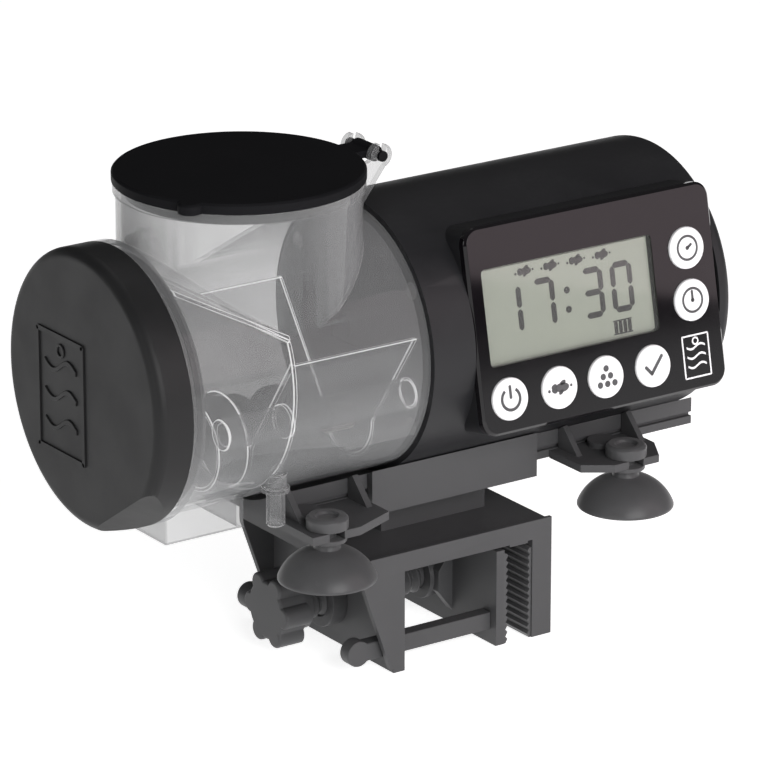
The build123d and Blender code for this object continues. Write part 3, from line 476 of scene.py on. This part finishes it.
def metal(name, base, rough=0.3):
    """Brushed metal with fine lines along X."""
    material, tree, shader = blank_material(name)
    places = tree.nodes.new("ShaderNodeTexCoord").outputs["Object"]
    stretch = tree.nodes.new("ShaderNodeMapping")
    stretch.inputs["Scale"].default_value = (40.0, 2400.0, 2400.0)
    tree.links.new(places, stretch.inputs["Vector"])
    lines = noise(tree, stretch.outputs["Vector"], 1.0, 4.0)
    tree.links.new(mixed(tree, lines, base, tuple(c * 0.7 for c in base)), shader.inputs["Base Color"])
    tree.links.new(remap(tree, lines, 0.3, 0.7, rough * 0.8, rough * 1.4), shader.inputs["Roughness"])
    shader.inputs["Metallic"].default_value = 1.0
    bump(tree, shader, lines, 0.1, 0.02 * MM)
    return material


def screen_material():
    """The unlit liquid crystal: grey-green film with a fine cell grid and a soft shade."""
    material, tree, shader = blank_material("Screen film")
    places = tree.nodes.new("ShaderNodeTexCoord").outputs["Object"]
    cells = tree.nodes.new("ShaderNodeTexChecker")
    cells.inputs["Scale"].default_value = 2500.0
    tree.links.new(places, cells.inputs["Vector"])
    shade = noise(tree, places, 25.0, 2.0)
    base = tuple(colours().screen)
    film = mixed(tree, remap(tree, shade, 0.3, 0.7, 0.0, 0.35), base, tuple(c * 0.88 for c in base))
    grid = mixed(tree, maths(tree, "MULTIPLY", cells.outputs["Fac"], 0.05), film,
                 tuple(c * 0.7 for c in base))
    tree.links.new(grid, shader.inputs["Base Color"])
    shader.inputs["Roughness"].default_value = 0.3
    shader.inputs["Coat Weight"].default_value = 1.0
    shader.inputs["Coat Roughness"].default_value = 0.04
    bump(tree, shader, cells.outputs["Fac"], 0.03, 0.01 * MM)
    return material


class Finishes:
    """Every material, made once."""

    def make(self):
        """Builds the materials from the colour settings."""
        set_of = colours()
        self.housing = moulded("Housing plastic", tuple(set_of.housing), (0.36, 0.48), 2200.0, 0.16)
        self.cap = moulded("Cap plastic", tuple(set_of.cap), (0.4, 0.52), 2400.0, 0.14, shine=0.2)
        self.lid = moulded("Lid plastic", tuple(set_of.lid), (0.5, 0.62), 2400.0, 0.14, dust=0.01, shine=0.03)
        self.holder = moulded("Holder plastic", tuple(set_of.holder), (0.4, 0.52), 2400.0, 0.14)
        self.rubber = moulded("Soft rubber", tuple(set_of.rubber), (0.32, 0.44), 1600.0, 0.1, sheen=0.1)
        self.seal = moulded("Seal rubber", (0.06, 0.06, 0.06), (0.5, 0.6), 1600.0, 0.1)
        self.panel = moulded("Gloss panel", tuple(set_of.panel), (0.05, 0.07), 200.0, 0.01, dust=0.0,
                             rub=0.05, shine=0.5)
        self.white = moulded("White buttons", (0.86, 0.86, 0.87), (0.3, 0.38), 2000.0, 0.06, dust=0.0,
                             rub=0.0)
        self.ink = moulded("Button ink", tuple(set_of.print_ink), (0.4, 0.5), 2000.0, 0.05)
        self.mark = moulded("Pale ink", (0.72, 0.72, 0.73), (0.4, 0.5), 2000.0, 0.05, dust=0.0)
        self.cell = moulded("Screen cells", (0.006, 0.006, 0.006), (0.3, 0.35), 2000.0, 0.02, dust=0.0,
                            rub=0.0, coat=1.0, shine=0.5)
        self.gear = moulded("Gear plastic", (0.72, 0.69, 0.60), (0.35, 0.45), 1800.0, 0.08)
        self.board = moulded("Circuit board", (0.02, 0.12, 0.045), (0.25, 0.35), 900.0, 0.1)
        self.jacket = moulded("Cell jacket", (0.08, 0.08, 0.09), (0.2, 0.3), 400.0, 0.03)
        self.steel = metal("Steel", (0.55, 0.55, 0.55))
        self.clear = clear_moulding("Clear plastic", (0.28, 0.284, 0.288), 0.2, 0.92)
        self.inner = clear_moulding("Clear insert", (0.30, 0.304, 0.308), 0.14, 0.85)
        # White, nearly opaque and glowing: painted highlights on the rounded edges of the clear mouldings.
        self.edge = clear_moulding("Clear edge", (0.97, 0.97, 0.98), 0.8, 1.0, 0.15, glow=0.7)
        self.auger = clear_moulding("Clear auger", (0.15, 0.152, 0.155), 0.35, 0.8, 0.12)
        self.window = clear_moulding("Window", (0.5, 0.52, 0.5), 0.02, 0.2, 0.03)
        self.screen = screen_material()


finish = Finishes()


# ---- operators ----------------------------------------------------------------------------------
class FEEDER_OT_cad_finishes(bpy.types.Operator):
    """Give every CAD node its material"""
    bl_idname = "feeder.cad_finishes"
    bl_label = "CAD finishes"

    def execute(self, context):
        finish.make()
        by_slot = {
            "black_plastic": finish.housing, "cap_plastic": finish.cap, "lid_plastic": finish.lid,
            "holder_plastic": finish.holder, "clear_plastic": finish.clear, "gloss_black": finish.panel,
            "display_glass": finish.window, "lcd": finish.screen, "white_button": finish.white,
            "soft_rubber": finish.rubber, "seal_rubber": finish.seal, "gear_plastic": finish.gear,
            "steel": finish.steel, "cell_jacket": finish.jacket, "circuit_board": finish.board,
        }
        for node, obj in nodes.items():
            obj.data.materials.clear()
            obj.data.materials.append(by_slot[node_slot[node]])
        return {"FINISHED"}


class FEEDER_OT_housing(bpy.types.Operator):
    """Build the drive housing, its end wall and battery door"""
    bl_idname = "feeder.housing"
    bl_label = "Housing"

    def execute(self, context):
        moulded_copy("housing_shell", finish.housing, edge=0.5 * MM)
        moulded_copy("housing_end", finish.housing)
        moulded_copy("battery_door", finish.housing)
        return {"FINISHED"}


class FEEDER_OT_end_cap(bpy.types.Operator):
    """Build the end cap with its raised mark"""
    bl_idname = "feeder.end_cap"
    bl_label = "End cap"

    def execute(self, context):
        moulded_copy("end_cap", finish.cap, edge=0.5 * MM)
        low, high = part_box("end_cap")
        relief = sizes().relief
        width, height, line = 22 * MM, 32 * MM, 1.3 * MM
        corners = [(-width / 2, -height / 2), (width / 2, -height / 2), (width / 2, height / 2),
                   (-width / 2, height / 2)]
        made = [bar(corners[i], corners[(i + 1) % 4], line, relief) for i in range(4)]
        made += waves(width * 0.7, height * 0.5, line, relief)
        made.append(ring((0, height * 0.38), 1.6 * MM, 0.8 * MM, relief))
        mark = join(made)
        middle = Vector((low.x, (low.y + high.y) / 2 + 9.8 * MM, (low.z + high.z) / 2 - 3.9 * MM))
        facing = Matrix(((0, 0, -1), (-1, 0, 0), (0, 1, 0))).to_4x4()
        place_on(mark, Matrix.Translation(middle) @ facing)
        settle(mark, "cap_mark", "cap", finish.cap)
        return {"FINISHED"}


class FEEDER_OT_container(bpy.types.Operator):
    """Build the clear container, its insert, ramp, air duct and nipple"""
    bl_idname = "feeder.container"
    bl_label = "Clear container"

    def execute(self, context):
        edge = sizes().clear_edge
        # The rounded edges of the clear pieces take the glowing white edge material: painted highlights.
        moulded_copy("food_container", finish.clear, edge=edge, edge_highlight_material=finish.edge, angle=35)
        for node in ("hopper_insert", "hopper_ramp", "air_duct", "air_nozzle"):
            moulded_copy(node, finish.inner, edge=edge * 0.75, edge_highlight_material=finish.edge, angle=35)
        return {"FINISHED"}


class FEEDER_OT_auger(bpy.types.Operator):
    """Build the auger"""
    bl_idname = "feeder.auger"
    bl_label = "Auger"

    def execute(self, context):
        moulded_copy("auger", finish.auger, edge=0.15 * MM, angle=40)
        return {"FINISHED"}


class FEEDER_OT_lid(bpy.types.Operator):
    """Build the lid"""
    bl_idname = "feeder.lid"
    bl_label = "Lid"

    def execute(self, context):
        moulded_copy("lid", finish.lid, edge=0.3 * MM)
        moulded_copy("lid_seal", finish.seal, edge=0.3 * MM)
        return {"FINISHED"}


class FEEDER_OT_panel(bpy.types.Operator):
    """Build the gloss front panel with its window, buttons and marks"""
    bl_idname = "feeder.panel"
    bl_label = "Control panel"

    def execute(self, context):
        moulded_copy("panel_bezel", finish.panel, edge=0.25 * MM)
        self.window()
        self.buttons()
        self.mark()
        return {"FINISHED"}

    def window(self):
        """The clear pane, a little thinner than its CAD solid."""
        low, high = panel_span("display_window")
        size = high - low
        thick = size.z - 0.2 * MM
        bpy.ops.mesh.primitive_cube_add(size=1, location=(0, 0, 0))
        pane = bpy.context.object
        pane.scale = (size.x - 0.1 * MM, size.y - 0.1 * MM, thick)
        bpy.ops.object.transform_apply(location=True, rotation=True, scale=True)
        bpy.ops.object.mode_set(mode="EDIT")
        pick(pane, "edges", lambda edge: True)
        bpy.ops.mesh.bevel(offset=0.2 * MM, segments=2)
        bpy.ops.object.mode_set(mode="OBJECT")
        place_on(pane, panel_matrix((low.x + high.x) / 2, (low.y + high.y) / 2, high.z - thick / 2))
        settle(pane, "window_pane", "feeder", finish.window, replaces=("display_window",))

    def buttons(self):
        """Six round buttons with printed symbols."""
        thick = 0.06 * MM
        drawings = {"power": power_symbol, "feed_now": fish_symbol, "portion": grain_symbol,
                    "set": tick_symbol, "hour": hour_symbol, "minute": minute_symbol}
        for name, drawing in drawings.items():
            node = "button_" + name
            moulded_copy(node, finish.white, edge=0.15 * MM)
            low, high = panel_span(node)
            symbol = join(drawing(thick))
            place_on(symbol, panel_matrix((low.x + high.x) / 2, (low.y + high.y) / 2, high.z - 0.01 * MM))
            settle(symbol, "symbol_" + name, node, finish.ink)

    def mark(self):
        """A small wave mark in a frame, low at the right of the panel."""
        high = panel_span("panel_bezel")[1]
        column = sum((panel_span("button_minute")[i].x for i in (0, 1))) / 2
        row = sum((panel_span("button_set")[i].y for i in (0, 1))) / 2
        width, height, line, thick = 8.6 * MM, 11.4 * MM, 0.45 * MM, 0.06 * MM
        corners = [(-width / 2, -height / 2), (width / 2, -height / 2), (width / 2, height / 2),
                   (-width / 2, height / 2)]
        made = [bar(corners[i], corners[(i + 1) % 4], line, thick) for i in range(4)]
        made += waves(width * 0.72, height * 0.45, line * 1.3, thick)
        made.append(ring((0, height * 0.36), 0.9 * MM, line, thick))
        drawn = join(made)
        place_on(drawn, panel_matrix(column, row, high.z - 0.01 * MM))
        settle(drawn, "panel_mark", "feeder", finish.mark)


def power_symbol(thick):
    """An open ring and an upright bar."""
    return [ring((0, 0), 2.9 * MM, 0.85 * MM, thick, gap=1.2),
            bar((0, 0.3 * MM), (0, 3.5 * MM), 0.85 * MM, thick)]


def fish_symbol(thick, size=1.0, start=(0.0, 0.0)):
    """A small fish with a tail, fins and bubbles."""
    unit = size * MM
    x, y = start
    return [dot((x + 0.5 * unit, y), 2.3 * unit, thick, 0.55),
            dot((x - 2.0 * unit, y + 0.55 * unit), 0.95 * unit, thick, 0.7, 0.5),
            dot((x - 2.0 * unit, y - 0.55 * unit), 0.95 * unit, thick, 0.7, -0.5),
            dot((x + 0.9 * unit, y + 1.25 * unit), 1.0 * unit, thick, 0.6, 0.4),
            dot((x + 0.1 * unit, y - 1.2 * unit), 0.9 * unit, thick, 0.6, 0.6),
            dot((x - 3.7 * unit, y - 0.4 * unit), 0.45 * unit, thick, 1.0, 0.0, 12),
            dot((x + 3.5 * unit, y + 0.1 * unit), 0.4 * unit, thick, 1.0, 0.0, 12)]


def grain_symbol(thick):
    """Food grains in a pile."""
    made = []
    for height, count in ((-1.9, 3), (0.2, 2), (2.3, 1)):
        made += [dot(((i - (count - 1) / 2) * 2.4 * MM, height * MM), 0.88 * MM, thick) for i in range(count)]
    return made


def tick_symbol(thick):
    """A tick."""
    return [bar((-2.7 * MM, 0.1 * MM), (-0.8 * MM, -2.1 * MM), 0.95 * MM, thick),
            bar((-0.95 * MM, -2.0 * MM), (2.9 * MM, 2.5 * MM), 0.95 * MM, thick)]


def clock_symbol(thick, hand):
    """A clock face with one hand."""
    return [ring((0, 0), 3.2 * MM, 0.7 * MM, thick), dot((0, 0), 0.6 * MM, thick),
            bar((0, 0), hand, 0.75 * MM, thick)]


def hour_symbol(thick):
    """A clock face with a short hand."""
    return clock_symbol(thick, (1.35 * MM, 0.85 * MM))


def minute_symbol(thick):
    """A clock face with a long hand."""
    return clock_symbol(thick, (0.0, 2.5 * MM))


class FEEDER_OT_screen(bpy.types.Operator):
    """Draw the digits, feeding marks and battery gauge on the screen"""
    bl_idname = "feeder.screen"
    bl_label = "Screen"

    segments = {"0": "abcdef", "1": "bc", "3": "abcdg", "7": "abc"}

    def digit(self, figure, x, y, height, thick):
        """Seven-segment figure with its lower left corner at (x, y), as separate bars."""
        width, line = height * 0.46, height * 0.135
        gap = line * 0.42
        half = height / 2
        slots = {
            "a": ((gap, height), (width - gap, height)), "g": ((gap, half), (width - gap, half)),
            "d": ((gap, 0), (width - gap, 0)), "f": ((0, half + gap), (0, height - gap)),
            "b": ((width, half + gap), (width, height - gap)), "e": ((0, gap), (0, half - gap)),
            "c": ((width, gap), (width, half - gap)),
        }
        return [bar((x + a[0], y + a[1]), (x + b[0], y + b[1]), line, thick, pointed=True)
                for a, b in (slots[letter] for letter in self.segments[figure])]

    def execute(self, context):
        low, high = panel_span("display_window")
        film_high = panel_span("lcd_module")[1]
        thick = 0.05 * MM
        width, height = high.x - low.x, high.y - low.y
        figure = height * 0.462
        base = -height * 0.207
        made = []
        for text, offset in zip("1730", (-0.382, -0.188, 0.098, 0.272)):
            made += self.digit(text, width * offset, base, figure, thick)
        for y in (0.25, 0.68):
            made.append(dot((-width * 0.002, base + figure * y), 0.95 * MM, thick))
        for step in range(4):
            made += fish_symbol(thick, 0.78, (width * (-0.235 + 0.152 * step), height * 0.39))
        gauge_x, gauge_y, tall = width * 0.262, -height * 0.385, 1.25 * MM
        for step in range(4):
            x = gauge_x + step * 1.5 * MM
            made.append(bar((x, gauge_y - tall), (x, gauge_y + tall), 1.2 * MM, thick))
        for side in (-1, 1):
            made.append(bar((gauge_x - 0.8 * MM, gauge_y + side * 1.75 * MM),
                            (gauge_x + 5.3 * MM, gauge_y + side * 1.75 * MM), 0.4 * MM, thick))
        cells = join(made)
        place_on(cells, panel_matrix((low.x + high.x) / 2, (low.y + high.y) / 2, film_high.z))
        settle(cells, "screen_cells", "feeder", finish.cell)
        return {"FINISHED"}


class FEEDER_OT_holder(bpy.types.Operator):
    """Build the holder rail, arms, shoe and suction cups"""
    bl_idname = "feeder.holder"
    bl_label = "Holder"

    def execute(self, context):
        for node in ("holder_rail", "arm_left", "arm_right", "clamp_shoe"):
            moulded_copy(node, finish.holder, edge=0.3 * MM)
        for node in ("suction_cup_left", "suction_cup_right"):
            moulded_copy(node, finish.rubber, edge=0.2 * MM)
        return {"FINISHED"}


class FEEDER_OT_clamp(bpy.types.Operator):
    """Build the glass clamp with its threaded screw"""
    bl_idname = "feeder.clamp"
    bl_label = "Glass clamp"

    def execute(self, context):
        for node in ("clamp_frame", "movable_jaw", "guide_bars", "clamp_knob", "clamp_nut"):
            moulded_copy(node, finish.holder, edge=0.35 * MM)
        for node in ("fixed_jaw_pad", "moving_jaw_pad"):
            moulded_copy(node, finish.rubber, edge=0.1 * MM)
        self.thread()
        return {"FINISHED"}

    def thread(self):
        """The screw: a profile turned with a rise for each turn, with plain ends."""
        low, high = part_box("clamp_spindle")
        outer = (high.z - low.z) / 2
        root = outer * 0.80
        pitch = sizes().thread_pitch
        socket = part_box("movable_jaw")[0].x
        start = low.x + 9 * MM
        turns = int((socket - 0.5 * MM - start) / pitch)
        bpy.ops.mesh.primitive_circle_add(vertices=5, radius=1)
        screw = bpy.context.object
        bpy.ops.object.mode_set(mode="EDIT")
        mesh = bmesh.from_edit_mesh(screw.data)
        profile = [(0.0, root), (0.32, outer), (0.5, outer), (0.82, root), (1.0, root)]
        for vertex, (x, r) in zip(list(mesh.verts), profile):
            vertex.co = (x * pitch, r, 0)
        closing = [edge for edge in mesh.edges if edge.calc_length() > 0.9 * pitch]
        bmesh.ops.delete(mesh, geom=closing, context="EDGES")
        bmesh.update_edit_mesh(screw.data)
        bpy.ops.object.mode_set(mode="OBJECT")
        apply_modifier(screw, "SCREW", axis="X", screw_offset=pitch, iterations=turns, steps=32,
                       render_steps=32, use_merge_vertices=True, merge_threshold=1e-6)
        screw.location = (start, (low.y + high.y) / 2, (low.z + high.z) / 2)
        bpy.ops.object.transform_apply(location=True, rotation=False, scale=False)
        bpy.ops.object.mode_set(mode="EDIT")
        bpy.ops.mesh.select_all(action="SELECT")
        bpy.ops.mesh.remove_doubles(threshold=1e-6)
        bpy.ops.mesh.select_mode(type="EDGE")
        bpy.ops.mesh.select_all(action="DESELECT")
        bpy.ops.mesh.select_non_manifold()
        bpy.ops.mesh.edge_face_add()
        bpy.ops.mesh.select_all(action="SELECT")
        bpy.ops.mesh.normals_make_consistent(inside=False)
        bpy.ops.object.mode_set(mode="OBJECT")
        core = []
        for x, r, long in ((low.x, outer, start - low.x + 0.5 * MM),
                           (socket - 1.5 * MM, root, high.x - socket + 1.2 * MM)):
            bpy.ops.mesh.primitive_cylinder_add(
                vertices=48, radius=r, depth=long, rotation=(0, pi / 2, 0),
                location=(x + long / 2, (low.y + high.y) / 2, (low.z + high.z) / 2))
            core.append(bpy.context.object)
            bpy.ops.object.transform_apply(location=True, rotation=True, scale=True)
        whole = join([screw] + core)
        settle(whole, "screw_thread", "spindle", finish.holder, smooth=40,
               replaces=("clamp_spindle",))


class FEEDER_OT_stage(bpy.types.Operator):
    """Set up the floor, the lights and the camera"""
    bl_idname = "feeder.stage"
    bl_label = "Stage"

    def execute(self, context):
        low, high = cad_box
        middle = (low + high) / 2
        self.floor(middle, low.z - 0.3 * MM)
        eye = self.camera()
        self.lights(middle, eye)
        self.sky()
        context.scene.view_settings.view_transform = "Standard"
        return {"FINISHED"}

    def floor(self, middle, height):
        """A pale table that is lit from within, so that its shadows stay faint."""
        bpy.ops.object.select_all(action="DESELECT")
        bpy.ops.mesh.primitive_plane_add(size=40, location=(middle.x, middle.y, height))
        floor = bpy.context.object
        bpy.ops.object.transform_apply(location=True, rotation=True, scale=True)
        floor.name = "floor"
        material, tree, shader = blank_material("Pale floor")
        places = tree.nodes.new("ShaderNodeTexCoord").outputs["Object"]
        grain = noise(tree, places, 8.0, 2.0)
        tree.links.new(mixed(tree, grain, (0.86, 0.86, 0.86), (0.88, 0.88, 0.88)),
                       shader.inputs["Base Color"])
        shader.inputs["Roughness"].default_value = 0.9
        shader.inputs["Specular IOR Level"].default_value = 0.0
        shader.inputs["Emission Color"].default_value = (1.0, 1.0, 1.0, 1.0)
        shader.inputs["Emission Strength"].default_value = 0.80
        floor.data.materials.append(material)

    def sky(self):
        """A dim studio, darkest at eye level, that the camera sees as white."""
        world = bpy.data.worlds.new("Studio")
        world.use_nodes = True
        tree = world.node_tree
        dim = tree.nodes["Background"]
        places = tree.nodes.new("ShaderNodeTexCoord").outputs["Generated"]
        split = tree.nodes.new("ShaderNodeSeparateXYZ")
        tree.links.new(places, split.inputs[0])
        tree.links.new(remap(tree, split.outputs["Z"], 0.25, 0.9, 0.06, 0.16), dim.inputs["Strength"])
        dim.inputs["Color"].default_value = (1.0, 1.0, 1.0, 1.0)
        white = tree.nodes.new("ShaderNodeBackground")
        white.inputs["Color"].default_value = (1.0, 1.0, 1.0, 1.0)
        mix = tree.nodes.new("ShaderNodeMixShader")
        seen = tree.nodes.new("ShaderNodeLightPath").outputs["Is Camera Ray"]
        tree.links.new(seen, mix.inputs[0])
        tree.links.new(dim.outputs[0], mix.inputs[1])
        tree.links.new(white.outputs[0], mix.inputs[2])
        tree.links.new(mix.outputs[0], tree.nodes["World Output"].inputs["Surface"])
        bpy.context.scene.world = world

    def area(self, name, size, power, tint=(1.0, 1.0, 1.0)):
        """An area light that the camera doesn't see."""
        bpy.ops.object.light_add(type="AREA", location=(0, 0, 0))
        lamp = bpy.context.object
        lamp.name = "light_" + name
        lamp.data.shape = "RECTANGLE"
        lamp.data.size, lamp.data.size_y = size
        lamp.data.energy = power
        lamp.data.color = tint
        lamp.visible_camera = False
        return lamp

    def lights(self, middle, eye):
        """A broad light in front, a softer one at the left and a card that the gloss panel mirrors."""
        for name, place, size, power in (("front", (-0.15, -1.0, 0.42), (0.7, 0.5), 8.0),
                                         ("left", (-1.0, -0.25, 0.25), (0.5, 0.5), 1.3),
                                         ("top", (0.1, 0.3, 1.0), (0.6, 0.6), 0.8)):
            lamp = self.area(name, size, power)
            lamp.location = middle + Vector(place)
            lamp.rotation_euler = (-Vector(place)).to_track_quat("-Z", "Y").to_euler()
        self.card(eye)

    def card(self, eye):
        """A strip of light mirrored in the panel above a line that slants down to the right."""
        low, high = panel_span("panel_bezel")
        turn = panel_axes.transposed()
        reach, width, height = 0.5, 0.6, 0.4
        seen = []
        for across, down in ((low.x, SPLIT_LEFT * MM), (high.x, SPLIT_RIGHT * MM)):
            spot = turn @ Vector((across, high.y - down, high.z))
            ray = (spot - eye.location).normalized()
            away = ray - 2 * ray.dot(panel_out) * panel_out
            seen.append((spot + away * reach, away))
        edge = (seen[1][0] - seen[0][0]).normalized()
        back = seen[0][1] + seen[1][1]
        back = (back - back.dot(edge) * edge).normalized()
        up = back.cross(edge)
        if up.z < 0:
            edge, up = -edge, -up
        lamp = self.area("card", (width, height), 0.98, (1.0, 0.84, 0.88))
        centre = (seen[0][0] + seen[1][0]) / 2 + up * height / 2
        axes = Matrix((edge, up, back)).transposed().to_4x4()
        lamp.matrix_world = Matrix.Translation(centre) @ axes

    def camera(self):
        """A long lens, to the left of square on and above."""
        left, above = radians(VIEW_LEFT), radians(VIEW_ABOVE)
        target = Vector(VIEW_TARGET) * MM
        aim = Vector((sin(left) * cos(above), cos(left) * cos(above), -sin(above)))
        lens = sizes().lens
        bpy.ops.object.camera_add(location=target - aim * (VIEW_WIDTH * MM * lens / SENSOR))
        eye = bpy.context.object
        eye.name = "camera"
        eye.rotation_euler = aim.to_track_quat("-Z", "Y").to_euler()
        eye.data.lens = lens
        eye.data.sensor_width = SENSOR
        eye.data.clip_end = 60.0
        bpy.context.scene.camera = eye
        return eye


class FEEDER_PT_panel(bpy.types.Panel):
    """The feeder's operators and settings"""
    bl_idname = "FEEDER_PT_panel"
    bl_label = "Fish feeder"
    bl_space_type = "VIEW_3D"
    bl_region_type = "UI"
    bl_category = "Feeder"

    def draw(self, context):
        for operator in OPERATORS:
            self.layout.operator(operator.bl_idname)
        for group in (context.scene.feeder_colours, context.scene.feeder_sizes):
            for key in group.bl_rna.properties.keys()[2:]:
                self.layout.prop(group, key)


OPERATORS = (FEEDER_OT_cad_finishes, FEEDER_OT_housing, FEEDER_OT_end_cap, FEEDER_OT_container,
             FEEDER_OT_auger, FEEDER_OT_lid, FEEDER_OT_panel, FEEDER_OT_screen, FEEDER_OT_holder,
             FEEDER_OT_clamp, FEEDER_OT_stage)
CLASSES = (FeederColours, FeederSizes, *OPERATORS, FEEDER_PT_panel)


def register():
    """Registers the classes and the scene's settings."""
    for cls in CLASSES:
        bpy.utils.register_class(cls)
    bpy.types.Scene.feeder_colours = PointerProperty(type=FeederColours)
    bpy.types.Scene.feeder_sizes = PointerProperty(type=FeederSizes)


def unregister():
    """Removes what register added."""
    del bpy.types.Scene.feeder_sizes
    del bpy.types.Scene.feeder_colours
    for cls in reversed(CLASSES):
        bpy.utils.unregister_class(cls)


def main():
    """Registers the add-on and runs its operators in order."""
    register()
    for operator in OPERATORS:
        family, name = operator.bl_idname.split(".")
        getattr(getattr(bpy.ops, family), name)()


if __name__ == "__main__":
    main()
